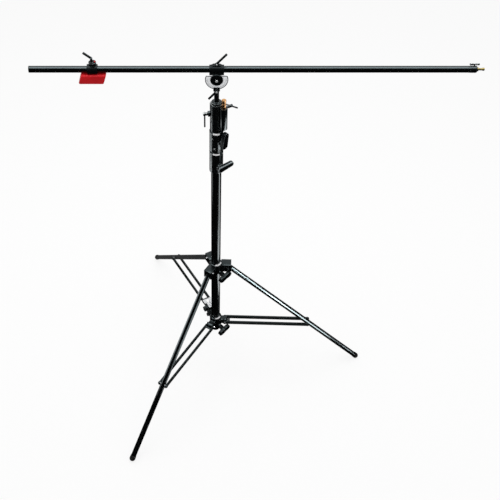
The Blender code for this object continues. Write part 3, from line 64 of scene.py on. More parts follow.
COLUMN = middle("base_tube")
AXIS = Vector((COLUMN.x, COLUMN.y, 0.0))


# Finishes


class Finish:
    """A node material with a Principled shader, and short calls to add and link its nodes."""

    def __init__(self, name):
        self.material = bpy.data.materials.new(name)
        self.material.use_nodes = True
        self.tree = self.material.node_tree
        self.shader = self.tree.nodes["Principled BSDF"]
        self.place = self.node("ShaderNodeTexCoord").outputs["Object"]

    def node(self, kind, **settings):
        made = self.tree.nodes.new(kind)
        for key, value in settings.items():
            setattr(made, key, value)
        return made

    def link(self, source, target):
        self.tree.links.new(source, target)

    def set(self, **values):
        for key, value in values.items():
            self.shader.inputs[key.replace("_", " ")].default_value = value

    def stretched(self, turn, scale):
        """Object coordinates turned by an Euler angle and then scaled along each axis."""
        turned = self.node("ShaderNodeMapping")
        turned.inputs["Rotation"].default_value = turn
        self.link(self.place, turned.inputs["Vector"])
        scaled = self.node("ShaderNodeMapping")
        scaled.inputs["Scale"].default_value = scale
        self.link(turned.outputs["Vector"], scaled.inputs["Vector"])
        return scaled.outputs["Vector"]

    def noise(self, scale, detail=3.0, where=None):
        made = self.node("ShaderNodeTexNoise")
        made.inputs["Scale"].default_value = scale
        made.inputs["Detail"].default_value = detail
        self.link(where or self.place, made.inputs["Vector"])
        return made.outputs["Fac"]

    def cells(self, scale):
        made = self.node("ShaderNodeTexVoronoi")
        made.inputs["Scale"].default_value = scale
        self.link(self.place, made.inputs["Vector"])
        return made.outputs["Distance"]

    def ranged(self, value, low, high, to_low, to_high):
        made = self.node("ShaderNodeMapRange")
        self.link(value, made.inputs["Value"])
        made.inputs["From Min"].default_value = low
        made.inputs["From Max"].default_value = high
        made.inputs["To Min"].default_value = to_low
        made.inputs["To Max"].default_value = to_high
        return made.outputs["Result"]

    def mixed(self, factor, first, second):
        """A colour between two colours."""
        made = self.node("ShaderNodeMix", data_type="RGBA")
        self.link(factor, made.inputs["Factor"])
        for name, colour in (("A", first), ("B", second)):
            socket = [s for s in made.inputs if s.name == name and s.type == "RGBA"][0]
            socket.default_value = (*colour, 1.0)
        return [s for s in made.outputs if s.type == "RGBA"][0]

    def joined(self, operation, first, second):
        made = self.node("ShaderNodeMath", operation=operation)
        for index, value in enumerate((first, second)):
            if isinstance(value, (int, float)):
                made.inputs[index].default_value = value
            else:
                self.link(value, made.inputs[index])
        return made.outputs["Value"]

    def colour(self, source):
        self.link(source, self.shader.inputs["Base Color"])

    def roughness(self, source):
        self.link(source, self.shader.inputs["Roughness"])

    def bump(self, height, distance, strength=1.0):
        made = self.node("ShaderNodeBump")
        made.inputs["Distance"].default_value = distance
        made.inputs["Strength"].default_value = strength
        self.link(height, made.inputs["Height"])
        self.link(made.outputs["Normal"], self.shader.inputs["Normal"])


TEAL_GLOSS = (0.78, 0.96, 1.0, 1.0)
RUBBED_PAINT = (0.012, 0.014, 0.015)


def tube_paint(name, turn, colour=(0.0012, 0.0014, 0.0015), gloss=0.5, dull=0.13, peel=0.000012):
    """Gloss black paint on a drawn tube: a slight orange peel and rub marks along the tube."""
    finish = Finish(name)
    finish.set(Specular_IOR_Level=gloss, Specular_Tint=TEAL_GLOSS)
    marks = finish.noise(1.0, 6.0, finish.stretched(turn, (420.0, 420.0, 5.0)))
    patches = finish.noise(9.0, 4.0)
    streaks = finish.ranged(marks, 0.60, 0.78, 0.0, 1.0)
    rub = finish.joined("MULTIPLY", streaks, finish.ranged(patches, 0.45, 0.7, 0.0, 1.0))
    finish.colour(finish.mixed(rub, colour, RUBBED_PAINT))
    base = finish.ranged(patches, 0.3, 0.7, dull, dull + 0.06)
    finish.roughness(finish.joined("ADD", base, finish.joined("MULTIPLY", rub, 0.16)))
    finish.bump(finish.noise(420.0, 2.0), peel, 0.4)
    return finish.material


def casting_paint(name, gloss, roughness, colour=(0.0018, 0.0021, 0.0023), worn=(0.035, 0.039, 0.041)):
    """Semi-gloss black enamel over a die casting: a fine grain, soft blotches and small chips."""
    finish = Finish(name)
    finish.set(Specular_IOR_Level=gloss, Specular_Tint=TEAL_GLOSS)
    grain = finish.noise(950.0, 2.0)
    blotch = finish.noise(28.0, 5.0)
    specks = finish.ranged(finish.noise(310.0, 3.0), 0.66, 0.72, 0.0, 1.0)
    chips = finish.joined("MULTIPLY", specks, finish.ranged(blotch, 0.5, 0.62, 0.0, 1.0))
    finish.colour(finish.mixed(chips, colour, worn))
    finish.roughness(finish.ranged(blotch, 0.3, 0.7, *roughness))
    finish.bump(grain, 0.00003, 0.45)
    return finish.material


def edge_wear_and_painted_highlight(name):
    """The rounded edge of a casting: a lighter grey all along it as a painted highlight, with dull metal
    showing through in places where the paint is worn.
    """
    finish = Finish(name)
    finish.set(Specular_IOR_Level=0.5, Specular_Tint=TEAL_GLOSS)
    patches = finish.noise(75.0, 6.0)
    bare = finish.ranged(patches, 0.50, 0.68, 0.0, 1.0)
    # The lighter grey base of the whole edge is a painted highlight; the brighter metallic patches are wear.
    finish.colour(finish.mixed(bare, (0.060, 0.067, 0.070), (0.26, 0.27, 0.27)))
    finish.link(finish.ranged(bare, 0.0, 1.0, 0.0, 0.7), finish.shader.inputs["Metallic"])
    finish.roughness(finish.ranged(patches, 0.3, 0.7, 0.26, 0.40))
    finish.bump(finish.noise(700.0, 2.0), 0.00008, 0.4)
    return finish.material


def moulded_plastic(name, colour=(0.0018, 0.0020, 0.0022), gloss=0.22, roughness=(0.26, 0.38)):
    """Satin black plastic with a spark-eroded grain and a polish from handling."""
    finish = Finish(name)
    finish.set(Specular_IOR_Level=gloss, Specular_Tint=TEAL_GLOSS)
    handled = finish.noise(34.0, 4.0)
    rubbed = tuple(2.5 * channel for channel in colour)
    finish.colour(finish.mixed(finish.ranged(handled, 0.35, 0.75, 0.0, 1.0), colour, rubbed))
    finish.roughness(finish.ranged(handled, 0.3, 0.7, *roughness))
    finish.bump(finish.cells(1500.0), 0.00004, 0.4)
    return finish.material


def rubber(name):
    """Matt black rubber, scuffed and a little dusty near the floor."""
    finish = Finish(name)
    finish.set(Specular_IOR_Level=0.25)
    scuffs = finish.noise(140.0, 6.0)
    dust = finish.ranged(scuffs, 0.5, 0.8, 0.0, 1.0)
    finish.colour(finish.mixed(dust, (0.003, 0.003, 0.003), (0.030, 0.029, 0.028)))
    finish.roughness(finish.ranged(scuffs, 0.3, 0.7, 0.5, 0.8))
    finish.bump(finish.noise(600.0, 3.0), 0.00025, 0.6)
    return finish.material


def plated_steel(name, colour, dark, roughness):
    """Plated steel: fine polish lines and slightly clouded plating."""
    finish = Finish(name)
    finish.set(Metallic=1.0)
    cloud = finish.noise(60.0, 5.0)
    lines = finish.noise(1.0, 3.0, finish.stretched((0.0, 0.0, 0.4), (2600.0, 2600.0, 120.0)))
    finish.colour(finish.mixed(finish.ranged(cloud, 0.40, 0.75, 0.0, 1.0), colour, dark))
    polish = finish.ranged(lines, 0.3, 0.7, -0.05, 0.07)
    finish.roughness(finish.joined("ADD", polish, finish.ranged(cloud, 0.3, 0.7, *roughness)))
    finish.bump(lines, 0.00002, 0.35)
    return finish.material


def turned_brass(name, colour, dark, roughness):
    """Turned brass: fine tool rings and brown tarnish in patches."""
    finish = Finish(name)
    finish.set(Metallic=1.0)
    tarnish = finish.noise(130.0, 6.0)
    rings = finish.noise(1.0, 1.0, finish.stretched((0.0, 0.0, 0.0), (20.0, 20.0, 4200.0)))
    finish.colour(finish.mixed(finish.ranged(tarnish, 0.40, 0.68, 0.0, 1.0), colour, dark))
    finish.roughness(finish.ranged(tarnish, 0.3, 0.7, *roughness))
    finish.bump(rings, 0.00004, 0.5)
    return finish.material


def satin_sheet(name, colour, bright, metallic, roughness):
    """Blasted or anodised metal: a pale matt skin with a fine rolling grain."""
    finish = Finish(name)
    finish.set(Metallic=metallic)
    grain = finish.noise(1.0, 4.0, finish.stretched((0.0, 0.0, 0.0), (60.0, 60.0, 2400.0)))
    finish.colour(finish.mixed(finish.ranged(grain, 0.35, 0.65, 0.0, 1.0), colour, bright))
    finish.roughness(finish.ranged(grain, 0.3, 0.7, *roughness))
    finish.bump(grain, 0.00002, 0.4)
    return finish.material


def red_enamel(name, colour=(0.52, 0.0100, 0.0130), deep=(0.40, 0.006, 0.010)):
    """Gloss red enamel over cast iron: orange peel, a deeper red in patches."""
    finish = Finish(name)
    finish.set(Specular_IOR_Level=0.10, Specular_Tint=(1.0, 0.75, 0.8, 1.0))
    patches = finish.noise(22.0, 5.0)
    finish.colour(finish.mixed(finish.ranged(patches, 0.42, 0.75, 0.0, 1.0), colour, deep))
    finish.roughness(finish.ranged(patches, 0.3, 0.7, 0.28, 0.42))
    finish.bump(finish.noise(330.0, 2.0), 0.00015, 0.5)
    return finish.material


def leg_turn(leg):
    """The Euler angle that turns a leg's own direction onto Z, for marks along the tube."""
    head = middle(f"leg_{leg}_hinge_pin")
    foot = middle(f"leg_{leg}_foot")
    return (head - foot).to_track_quat("Z", "Y").inverted().to_euler()


UPRIGHT = (0.0, 0.0, 0.0)
ALONG_X = (0.0, math.radians(90.0), 0.0)
TUBE = tube_paint("column_tube_paint", UPRIGHT)
BOOM = tube_paint("boom_tube_paint", ALONG_X)
CASTING = casting_paint("casting_paint", 0.45, (0.18, 0.28))
SATIN = casting_paint("satin_casting_paint", 0.14, (0.34, 0.48))
# Edge finish for the castings: a painted highlight along the rounded edges, with worn patches.
EDGE = edge_wear_and_painted_highlight("casting_edge_wear_and_painted_highlight")
PLASTIC = moulded_plastic("moulded_plastic")
# A lighter copy of the black plastic for the rounded edges of levers and knobs: a painted highlight.
PLASTIC_PAINTED_HIGHLIGHT = moulded_plastic("moulded_plastic_painted_highlight", (0.135, 0.150, 0.156), 0.5, (0.20, 0.30))
RUBBER = rubber("foot_rubber")
STEEL = plated_steel("bright_steel_plate", (0.78, 0.79, 0.80), (0.55, 0.56, 0.57), (0.12, 0.22))
GREY = plated_steel("grey_steel_plate", (0.30, 0.32, 0.32), (0.16, 0.17, 0.17), (0.24, 0.36))
BRASS = turned_brass("stud_brass", (0.66, 0.38, 0.18), (0.30, 0.15, 0.06), (0.26, 0.40))
OLIVE_BRASS = turned_brass("spigot_brass", (0.30, 0.24, 0.09), (0.10, 0.085, 0.035), (0.26, 0.40))
SHEET = satin_sheet("protractor_sheet", (0.90, 0.92, 0.95), (0.97, 0.98, 0.99), 0.0, (0.40, 0.55))
# Pale near-matt finish for the strips and arcs at the collars' fronts: a painted glint.
PALE_GLINT = satin_sheet("pale_painted_glint", (0.82, 0.83, 0.84), (0.94, 0.94, 0.94), 0.15, (0.30, 0.42))
DULL_ZINC = satin_sheet("dull_zinc", (0.36, 0.37, 0.37), (0.52, 0.53, 0.53), 0.3, (0.30, 0.45))
RED = red_enamel("weight_enamel")
# A lighter copy of the red enamel for the counterweight's rounded edges: a painted highlight.
RED_PAINTED_HIGHLIGHT = red_enamel("weight_enamel_painted_highlight", (0.60, 0.012, 0.018), (0.46, 0.008, 0.012))

NODE_FINISHES = {
    TUBE: ["base_tube", "lower_riser", "upper_riser"],
    BOOM: ["boom_tube"],
    CASTING: ["tilt_bolt"],
    PLASTIC: ["base_tube_cap", "lower_riser_guide", "upper_riser_guide", "boom_tail_cap"],
    STEEL: ["brace_a_pin", "brace_b_pin", "level_bar", "level_slider", "level_pin"],
    BRASS: ["brass_stud"],
    OLIVE_BRASS: ["boom_end_spigot"],
    SHEET: ["protractor_plate"],
    RED: ["weight_button"],
}


def paint(node, material):
    slots = NODES[node].data.materials
    slots.clear()
    slots.append(material)


for material, names in NODE_FINISHES.items():
    for name in names:
        paint(name, material)
for leg in LEG_AZIMUTHS:
    leg_paint = tube_paint(f"leg_{leg}_tube_paint", leg_turn(leg), dull=0.10, peel=0.000003)
    paint(f"leg_{leg}_tube", leg_paint)
    paint(f"brace_{leg}", tube_paint(f"brace_{leg}_paint", UPRIGHT, (0.010, 0.0125, 0.0125), gloss=0.3))
    paint(f"leg_{leg}_knuckle", CASTING)
    paint(f"leg_{leg}_foot", RUBBER)
    paint(f"leg_{leg}_hinge_pin", STEEL)
    paint(f"leg_{leg}_cross_bolt", STEEL)


# Pieces


def add_piece(name, form, materials, body, smooth_angle=40.0):
    mesh = bpy.data.meshes.new(name)
    form.to_mesh(mesh)
    form.free()
    for material in materials:
        mesh.materials.append(material)
    mesh.shade_smooth()
    mesh.set_sharp_from_angle(angle=math.radians(smooth_angle))
    piece = bpy.data.objects.new(name, mesh)
    bpy.context.scene.collection.objects.link(piece)
    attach(piece, body)
    return piece


SHOWN = dict(NODES)


def soften(node, body, width, segments, materials, angle=50.0):
    """The node's own solid with its sharp edges rounded over, in place of the node."""
    form = bmesh.new()
    form.from_mesh(NODES[node].data)
    bmesh.ops.remove_doubles(form, verts=form.verts, dist=0.000002)
    bmesh.ops.dissolve_limit(form, angle_limit=math.radians(0.5), verts=form.verts, edges=form.edges)
    for face in form.faces:
        face.material_index = 0
    sharp = math.radians(angle)
    edges = [edge for edge in form.edges if edge.is_manifold and abs(edge.calc_face_angle()) > sharp]
    bmesh.ops.bevel(
        form,
        geom=edges,
        offset=width,
        segments=segments,
        profile=0.5,
        affect="EDGES",
        clamp_overlap=True,
        material=1,
    )
    piece = add_piece(f"{node}_softened", form, materials, body)
    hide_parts(node)
    SHOWN[node] = piece


CASTINGS = {
    "lower_clamp_collar": ("column", 0.0020),
    "upper_clamp_collar": ("lower_riser", 0.0020),
    "socket_head": ("upper_riser", 0.0020),
    "leg_collar": ("leg_collar", 0.0025),
    "brace_collar": ("column", 0.0025),
    "boom_spigot": ("boom_spigot", 0.0008),
    "socket_tee_right": ("socket_tee_right", 0.0008),
    "boom_end_fitting": ("boom", 0.0040),
}
SATIN_CASTINGS = {
    "boom_clamp": ("boom_clamp", 0.0012),
    "swivel_yoke": ("swivel_yoke", 0.0012),
    "weight_clamp": ("counterweight", 0.0010),
    "tilt_disc": ("boom_clamp", 0.0008),
    "boom_lever": ("boom_lever", 0.0008),
    "swivel_tee": ("swivel_tee", 0.0008),
}
MOULDINGS = {
    "lower_clamp_lever": 0.0030,
    "upper_clamp_lever": 0.0030,
    "leg_collar_knob": 0.0015,
    "brace_collar_knob": 0.0015,
    "level_knob": 0.0012,
    "weight_lever": 0.0012,
}
# The second finish goes on the rounded-over edges; on castings, levers, knobs and the counterweight it is a
# lighter copy that paints a highlight along them.
for node, (body, width) in CASTINGS.items():
    soften(node, body, width, 2, [CASTING, EDGE])
for node, (body, width) in SATIN_CASTINGS.items():
    soften(node, body, width, 2, [SATIN, CASTING])
for node, width in MOULDINGS.items():
    soften(node, node, width, 3, [PLASTIC, PLASTIC_PAINTED_HIGHLIGHT])
for node in ("socket_tee_left", "boom_end_wing_screw"):
    soften(node, node, 0.0006, 2, [GREY, STEEL])
soften("counterweight", "counterweight", 0.0040, 2, [RED, RED_PAINTED_HIGHLIGHT])


def ring_form(outline, start, sweep, steps):
    """A closed outline of (radius, height) points swept about Z through an angle in degrees."""
    form = bmesh.new()
    full = sweep >= FULL_TURN
    rows = []
    for step in range(steps if full else steps + 1):
        angle = math.radians(start + sweep * step / steps)
        turn = (math.cos(angle), math.sin(angle))
        rows.append([form.verts.new((radius * turn[0], radius * turn[1], z)) for radius, z in outline])
    following = rows[1:] + rows[:1] if full else rows[1:]
    count = len(outline)
    for row, after in zip(rows, following):
        for index in range(count):
            other = (index + 1) % count
            form.faces.new((row[index], row[other], after[other], after[index]))
    if not full:
        form.faces.new(rows[0])
        form.faces.new(rows[-1])
    bmesh.ops.remove_doubles(form, verts=form.verts, dist=0.000001)
    bmesh.ops.recalc_face_normals(form, faces=form.faces)
    return form


def drawn_form(outline, low, high):
    """A closed (x, y) outline raised along Z."""
    form = bmesh.new()
    base = form.faces.new([form.verts.new((x, y, low)) for x, y in outline])
    raised = bmesh.ops.extrude_face_region(form, geom=[base])
    moved = [item for item in raised["geom"] if isinstance(item, bmesh.types.BMVert)]
    bmesh.ops.translate(form, verts=moved, vec=(0.0, 0.0, high - low))
    bmesh.ops.recalc_face_normals(form, faces=form.faces)
    return form


def placed(form, matrix):
    bmesh.ops.transform(form, matrix=matrix, verts=form.verts)
    return form


def beside_column(azimuth, radius, height):
    """A frame beside the column: X outwards, Y round the column, Z up."""
    turn = Matrix.Rotation(math.radians(azimuth), 4, "Z")
    raised = Matrix.Translation(AXIS + Vector((0.0, 0.0, height)))
    return raised @ turn @ Matrix.Translation((radius, 0.0, 0.0))


FACING_FRONT = Matrix.Rotation(math.radians(90.0), 4, "X")
FACING_OUT = Matrix.Rotation(math.radians(90.0), 4, "Y")
AT_COLUMN = Matrix.Translation(AXIS)

# Pale strips on the front of the clamp collars' top edges: a painted glint
CLAMP_R = 0.025
CLAMP_CHAMFER = 0.004
LIP_THICKNESS = 0.0005
LIP_DROP = 0.0078
LIP_REACH = 0.0020
LIP_SWEEP = (-120.0, 58.0)


def clamp_glint_strip(node, body):
    """A pale strip round the front of a clamp collar's top edge, a painted glint on its chamfer."""
    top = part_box(node)[1].z
    inner = CLAMP_R - CLAMP_CHAMFER + LIP_REACH
    proud = CLAMP_R + LIP_THICKNESS
    outline = [
        (CLAMP_R, top - LIP_DROP),
        (proud, top - LIP_DROP + LIP_THICKNESS),
        (proud, top - CLAMP_CHAMFER),
        (inner + LIP_THICKNESS, top - LIP_REACH + LIP_THICKNESS),
        (inner, top - LIP_REACH),
        (CLAMP_R, top - CLAMP_CHAMFER),
    ]
    form = placed(ring_form(outline, *LIP_SWEEP, 20), AT_COLUMN)
    add_piece(f"{node}_lip", form, [PALE_GLINT], body)


clamp_glint_strip("upper_clamp_collar", "lower_riser")
clamp_glint_strip("lower_clamp_collar", "column")

# Pale liner arcs that stand out of the leg and brace collars at the front: a painted glint
LINER_BORE = 0.0194
LINER_EDGE = 0.0008
LINERS = {
    "leg_collar": ("leg_collar", 0.0240, 0.0040, -98.0, 84.0),
    "brace_collar": ("column", 0.0230, 0.0050, -92.0, 66.0),
}


def liner(node, body, outer, height, start, sweep):
    """A pale liner arc that shows above a collar at its front, a painted glint on the collar's top."""
    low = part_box(node)[1].z
    outline = [
        (LINER_BORE, low),
        (outer, low),
        (outer, low + height - LINER_EDGE),
        (outer - LINER_EDGE, low + height),
        (LINER_BORE, low + height),
    ]
    form = placed(ring_form(outline, start, sweep, 24), AT_COLUMN)
    add_piece(f"{node}_liner", form, [PALE_GLINT], body)


for node, values in LINERS.items():
    liner(node, *values)

# Bare rim round the socket's mouth
MOUTH_RIM = (0.0181, 0.0212)
MOUTH_PROUD = 0.0004


def mouth_rim():
    """A rub-bright rim on the top of the socket head."""
    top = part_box("socket_head")[1].z
    inner, outer = MOUTH_RIM
    outline = [
        (inner, top),
        (outer, top),
        (outer - MOUTH_PROUD, top + MOUTH_PROUD),
        (inner + MOUTH_PROUD, top + MOUTH_PROUD),
    ]
    form = placed(ring_form(outline, 0.0, FULL_TURN, 48), AT_COLUMN)
    add_piece("socket_mouth_rim", form, [GREY], "upper_riser")


mouth_rim()

# Round screw heads
DOME = ((0.0, 0.55), (0.35, 0.52), (0.70, 0.38), (0.92, 0.18), (1.0, 0.0), (0.0, 0.0))


def dome(name, radius, matrix, body, material):
    """A low round screw head whose flat side lies at its frame's origin, facing along Z."""
    outline = [(radius * across, radius * high) for across, high in DOME]
    add_piece(name, placed(ring_form(outline, 0.0, FULL_TURN, 20), matrix), [material], body)


def on_front(node, height):
    """A frame on the front of a node, above the column's axis, facing the front."""
    return Matrix.Translation((AXIS.x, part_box(node)[0].y, height)) @ FACING_FRONT


TILT_Z = middle("tilt_disc").z
BOOM_Z = middle("boom_tube").z
SWIVEL_TEE_DROP = 0.0365
LEVER_HUB_RISE = 0.0208
LEVER_HUB_FRONT = 0.0052
TILT_CAP_R = 0.0045
SWIVEL_CAP_R = 0.0036
LEVER_CAP_R = 0.0030
lever_hub = AXIS + Vector((0.0, -LEVER_HUB_FRONT, BOOM_Z + LEVER_HUB_RISE))
lever_front = Matrix.Translation(lever_hub) @ FACING_FRONT
swivel_front = on_front("swivel_tee", TILT_Z - SWIVEL_TEE_DROP)
tilt_front = on_front("tilt_bolt", TILT_Z)
dome("tilt_bolt_cap", TILT_CAP_R, tilt_front, "swivel_yoke", DULL_ZINC)
dome("swivel_tee_cap", SWIVEL_CAP_R, swivel_front, "swivel_tee", DULL_ZINC)
dome("boom_lever_cap", LEVER_CAP_R, lever_front, "boom_lever", DULL_ZINC)

# Each clamp screw: collar, body, azimuth in degrees, drop below the collar's top
CLAMP_SCREW_R = 0.0042
CLAMP_SCREW_SINK = 0.0004
CLAMP_SCREWS = {
    "lower_clamp_bolt": ("lower_clamp_collar", "column", -33.0, 0.0095),
    "upper_clamp_bolt_left": ("upper_clamp_collar", "lower_riser", -123.0, 0.0310),
    "upper_clamp_bolt_right": ("upper_clamp_collar", "lower_riser", -104.0, 0.0730),
}
for name, (node, body, azimuth, drop) in CLAMP_SCREWS.items():
    seat = beside_column(azimuth, CLAMP_R - CLAMP_SCREW_SINK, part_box(node)[1].z - drop) @ FACING_OUT
    dome(name, CLAMP_SCREW_R, seat, body, GREY)

# Protractor marks
PROTRACTOR_R = 0.038
PROTRACTOR_RISE = 0.015
PROTRACTOR_CORNER = 0.006
PROTRACTOR_NOTCH = 17.5
RIM_WIDTH = 0.0026
RIM_START = 0.0160
MARK_PROUD = 0.0003
TICK_REACH = (0.0285, 0.0340)
TICK_HALF = 0.0004
TICK_TURNS = range(175, 366, 10)
INK = moulded_plastic("protractor_ink", (0.004, 0.0045, 0.005))
RIM_INK = moulded_plastic("protractor_rim_ink", (0.030, 0.033, 0.036))


def curve(radius, start, end, steps, centre):
    """Points on an arc, from one angle to another in degrees."""
    turns = [math.radians(start + (end - start) * step / steps) for step in range(steps + 1)]
    return [(centre[0] + radius * math.cos(turn), centre[1] + radius * math.sin(turn)) for turn in turns]


def plate_edge(inset):
    """The left half of the angle plate's outline from its top to the notch, moved in by a distance."""
    level = PROTRACTOR_RISE - PROTRACTOR_CORNER
    corner = math.sqrt(PROTRACTOR_R**2 - level**2) - PROTRACTOR_CORNER
    rise = math.degrees(math.asin(level / PROTRACTOR_R))
    points = [(-RIM_START, PROTRACTOR_RISE - inset)]
    points += curve(PROTRACTOR_CORNER - inset, 90.0, 180.0, 6, (-corner, level))
    points += curve(PROTRACTOR_R - inset, 179.0 - rise, 270.0 - PROTRACTOR_NOTCH, 18, (0.0, 0.0))
    return points


def protractor_marks():
    """A dark rim and scale lines on the front of the angle plate."""
    at = on_front("protractor_plate", TILT_Z)
    edge = plate_edge(0.0) + plate_edge(RIM_WIDTH)[::-1]
    for side, sign in (("left", 1.0), ("right", -1.0)):
        outline = [(sign * x, y) for x, y in edge]
        form = placed(drawn_form(outline, -MARK_PROUD, MARK_PROUD), at)
        add_piece(f"protractor_rim_{side}", form, [RIM_INK], "swivel_yoke")
    near, far = TICK_REACH
    tick = [(near, -TICK_HALF), (far, -TICK_HALF), (far, TICK_HALF), (near, TICK_HALF)]
    for turn in TICK_TURNS:
        form = drawn_form(tick, -MARK_PROUD, MARK_PROUD)
        spun = at @ Matrix.Rotation(math.radians(turn), 4, "Z")
        add_piece(f"protractor_tick_{turn}", placed(form, spun), [INK], "swivel_yoke")


protractor_marks()

# Bright saddle over the levelling brace
LEVEL_PIVOT = (0.044, 0.300)
LEVEL_SLOPE = 5.67
SADDLE_SPAN = (0.0190, 0.0440)
SADDLE_SLOT = (0.0410, 0.0062)
SADDLE_INNER = 0.0193
SADDLE_OUTER = 0.0210
SADDLE_TOP = (0.0091, 0.0106)
SADDLE_SKIRT = -0.0040


def level_saddle():
    """A bent bright plate that ties the two bars of the levelling brace, slotted for the levelling bar."""
    near, far = SADDLE_SPAN
    slot_end, slot = SADDLE_SLOT
    top = [(near, -SADDLE_OUTER), (far, -SADDLE_OUTER), (far, SADDLE_OUTER), (near, SADDLE_OUTER)]
    top += [(near, slot), (slot_end, slot), (slot_end, -slot), (near, -slot)]
    slope = Matrix.Rotation(math.radians(LEVEL_SLOPE), 4, "Y")
    at = beside_column(LEG_AZIMUTHS["c"], *LEVEL_PIVOT) @ slope
    form = placed(drawn_form(top, *SADDLE_TOP), at)
    add_piece("level_saddle", form, [STEEL], "brace_c")
    for side, sign in (("left", 1.0), ("right", -1.0)):
        inner, outer = sign * SADDLE_INNER, sign * SADDLE_OUTER
        skirt = [(near, inner), (far, inner), (far, outer), (near, outer)]
        form = placed(drawn_form(skirt, SADDLE_SKIRT, SADDLE_TOP[0]), at)
        add_piece(f"level_saddle_{side}", form, [STEEL], "brace_c")


level_saddle()

# Stage, light and camera

FLOOR_DROP = 0.0005
FLOOR_HALF = 30.0
FLOOR_GLOW = 0.80
WORLD_FILL = 0.75

# Dark cloths round the set, by their corners from the column's foot
CLOTHS = {
    "floor_cloth": [
        (-4.0, -4.2, 0.0),
        (4.0, -4.2, 0.0),
        (4.0, 2.5, 0.0),
        (1.6, 2.5, 0.0),
        (1.6, 1.3, 0.0),
        (-1.05, 1.3, 0.0),
        (-1.05, -0.15, 0.0),
        (-4.0, -0.15, 0.0),
    ],
    "front_cloth": [(-5.0, -4.2, 0.0), (5.0, -4.2, 0.0), (5.0, -4.2, 9.0), (-5.0, -4.2, 9.0)],
    "right_cloth": [(4.0, -1.2, 0.0), (4.0, 4.0, 0.0), (4.0, 4.0, 3.0), (4.0, -1.2, 3.0)],
    "left_cloth": [(-4.0, -4.2, 0.0), (-4.0, 2.0, 0.0), (-4.0, 2.0, 2.8), (-4.0, -4.2, 2.8)],
}


def add_stage(name, form, material):
    mesh = bpy.data.meshes.new(name)
    form.to_mesh(mesh)
    form.free()
    mesh.materials.append(material)
    piece = bpy.data.objects.new(name, mesh)
    bpy.context.scene.collection.objects.link(piece)
    return piece


def make_cloths():
    """Black cloths that only reflections see, as hung round a camera for gloss work."""
    finish = Finish("black_cloth")
    finish.set(Roughness=0.95, Specular_IOR_Level=0.0)
    nap = finish.noise(300.0, 4.0)
    finish.colour(finish.mixed(nap, (0.001, 0.001, 0.001), (0.003, 0.003, 0.003)))
    for name, corners in CLOTHS.items():
        form = bmesh.new()
        form.faces.new([form.verts.new(AXIS + Vector(corner)) for corner in corners])
        cloth = add_stage(name, form, finish.material)
        cloth.visible_camera = False
        cloth.visible_diffuse = False
        cloth.visible_transmission = False
        cloth.visible_shadow = False


def make_floor():
    form = bmesh.new()
    level = Matrix.Translation((0.0, 0.0, -FLOOR_DROP))
    bmesh.ops.create_grid(form, x_segments=1, y_segments=1, size=FLOOR_HALF, matrix=level)
    finish = Finish("studio_floor_paper")
    finish.set(Roughness=0.9, Specular_IOR_Level=0.0)
    paper = finish.noise(40.0, 4.0)
    finish.colour(finish.mixed(paper, (0.86, 0.86, 0.86), (0.90, 0.90, 0.90)))
    glow = finish.node("ShaderNodeEmission")
    path = finish.node("ShaderNodeLightPath")
    seen = finish.joined("MAXIMUM", path.outputs["Is Camera Ray"], path.outputs["Is Glossy Ray"])
    seen = finish.joined("MAXIMUM", seen, path.outputs["Is Transmission Ray"])
    share = finish.joined("MULTIPLY", seen, FLOOR_GLOW)
    blend = finish.node("ShaderNodeMixShader")
    finish.link(share, blend.inputs["Fac"])
    finish.link(finish.shader.outputs["BSDF"], blend.inputs[1])
    finish.link(glow.outputs["Emission"], blend.inputs[2])
    finish.link(blend.outputs["Shader"], finish.tree.nodes["Material Output"].inputs["Surface"])
    add_stage("studio_floor", form, finish.material)


def make_world():
    world = bpy.data.worlds.new("studio")
    bpy.context.scene.world = world
    world.use_nodes = True
    nodes = world.node_tree.nodes
    links = world.node_tree.links
    back = nodes["Background"]
    path = nodes.new("ShaderNodeLightPath")
    first = nodes.new("ShaderNodeMath")
    first.operation = "MAXIMUM"
    links.new(path.outputs["Is Camera Ray"], first.inputs[0])
    links.new(path.outputs["Is Glossy Ray"], first.inputs[1])
    second = nodes.new("ShaderNodeMath")
    second.operation = "MAXIMUM"
    links.new(first.outputs["Value"], second.inputs[0])
    links.new(path.outputs["Is Transmission Ray"], second.inputs[1])
    level = nodes.new("ShaderNodeMapRange")
    level.inputs["To Min"].default_value = WORLD_FILL
    level.inputs["To Max"].default_value = 1.0
    links.new(second.outputs["Value"], level.inputs["Value"])
    back.inputs["Color"].default_value = (1.0, 1.0, 1.0, 1.0)
    links.new(level.outputs["Result"], back.inputs["Strength"])


def softbox(name, offset, target, size, radiance, gloss=False):
    """A soft light aimed at a point, both from the column's foot; a gloss light only makes highlights."""
    light = bpy.data.lights.new(name, "AREA")
    light.shape = "RECTANGLE"
    light.size, light.size_y = size
    light.energy = radiance * math.pi * size[0] * size[1]
    lamp = bpy.data.objects.new(name, light)
    bpy.context.scene.collection.objects.link(lamp)
    lamp.location = AXIS + Vector(offset)
    aim = AXIS + Vector(target) - lamp.location
    lamp.rotation_euler = aim.to_track_quat("-Z", "Y").to_euler()
    lamp.visible_camera = False
    lamp.visible_diffuse = not gloss
    lamp.visible_glossy = gloss
    return lamp


def only_on(lamp, *nodes):
    """Keeps a lamp's light to the named nodes."""
    receivers = bpy.data.collections.new(f"{lamp.name}_receivers")
    for node in nodes:
        receivers.objects.link(SHOWN[node])
    lamp.light_linking.receiver_collection = receivers


def make_camera():
    camera = bpy.data.cameras.new("photo_camera")
    camera.sensor_width = CAMERA_SENSOR
    camera.lens = CAMERA_LENS
    camera.shift_x = CAMERA_SHIFT
    stand = bpy.data.objects.new("photo_camera", camera)
    bpy.context.scene.collection.objects.link(stand)
    stand.location = AXIS + Vector(CAMERA_OFFSET)
    stand.rotation_euler = (math.radians(90.0 - CAMERA_PITCH), 0.0, 0.0)
    bpy.context.scene.camera = stand


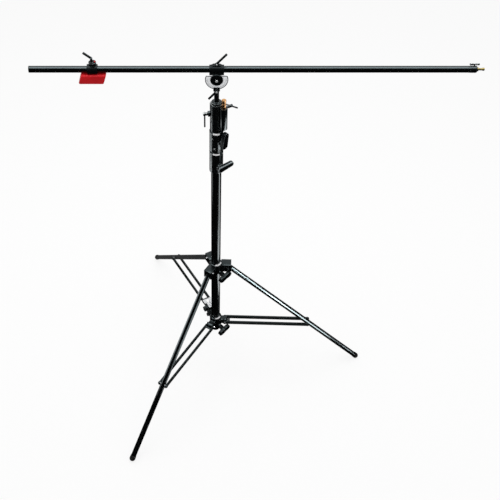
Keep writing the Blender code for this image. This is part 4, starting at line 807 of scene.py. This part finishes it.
make_floor()
make_cloths()
make_world()
softbox("top_softbox", (0.0, 0.6, 3.4), (0.0, 0.0, 0.9), (3.2, 2.4), 2.0)
softbox("gloss_ceiling", (0.1, 0.22, 3.5), (0.1, 0.22, 0.0), (5.0, 1.75), 6.0, True)
right_card = softbox("right_card", (0.93, -0.18, 0.003), (0.93, -0.18, 1.0), (1.1, 0.54), 4.8, True)
collar_card = softbox("collar_card", (1.2, -0.3, 0.003), (1.2, -0.3, 1.0), (1.6, 1.0), 6.0, True)
left_card = softbox("left_card", (-1.42, 0.22, 0.003), (-1.42, 0.22, 1.0), (0.65, 0.75), 3.0, True)
leg_a_right = softbox("leg_a_right", (0.6, -0.55, 0.003), (0.6, -0.55, 1.0), (0.9, 0.7), 3.0, True)
leg_a_left = softbox("leg_a_left", (-1.45, 0.65, 0.003), (-1.45, 0.65, 1.0), (1.8, 1.1), 2.2, True)
leg_a_far_left = softbox("leg_a_far_left", (-3.0, 0.28, 0.95), (0.0, 0.28, 0.95), (1.25, 1.1), 5.0, True)
leg_a_far_right = softbox("leg_a_far_right", (1.4, -1.3, 0.3), (-0.1, -0.2, 0.3), (1.0, 0.6), 4.5, True)
leg_c_card = softbox("leg_c_card", (-0.45, 0.7, 0.003), (-0.45, 0.7, 1.0), (0.75, 0.95), 0.12, True)
leg_panel = softbox("leg_panel", (3.22, -2.04, 0.65), (0.35, 0.0, 0.65), (1.3, 1.3), 75.0, True)
leg_strip = softbox("leg_strip", (2.75, -2.45, 0.003), (2.75, -2.45, 1.0), (3.6, 3.5), 26.0, True)
COLLARS = ("lower_clamp_collar", "upper_clamp_collar", "socket_head")
only_on(right_card, "base_tube")
only_on(collar_card, "brass_stud", *COLLARS)
only_on(leg_a_right, "leg_a_tube")
only_on(leg_a_left, "leg_a_tube")
only_on(leg_a_far_left, "leg_a_tube")
only_on(leg_a_far_right, "leg_a_tube")
only_on(leg_c_card, "leg_c_tube")
only_on(left_card, *COLLARS)
only_on(leg_panel, "leg_b_tube")
only_on(leg_strip, "leg_b_tube")
make_camera()
bpy.context.scene.view_settings.view_transform = "Standard"
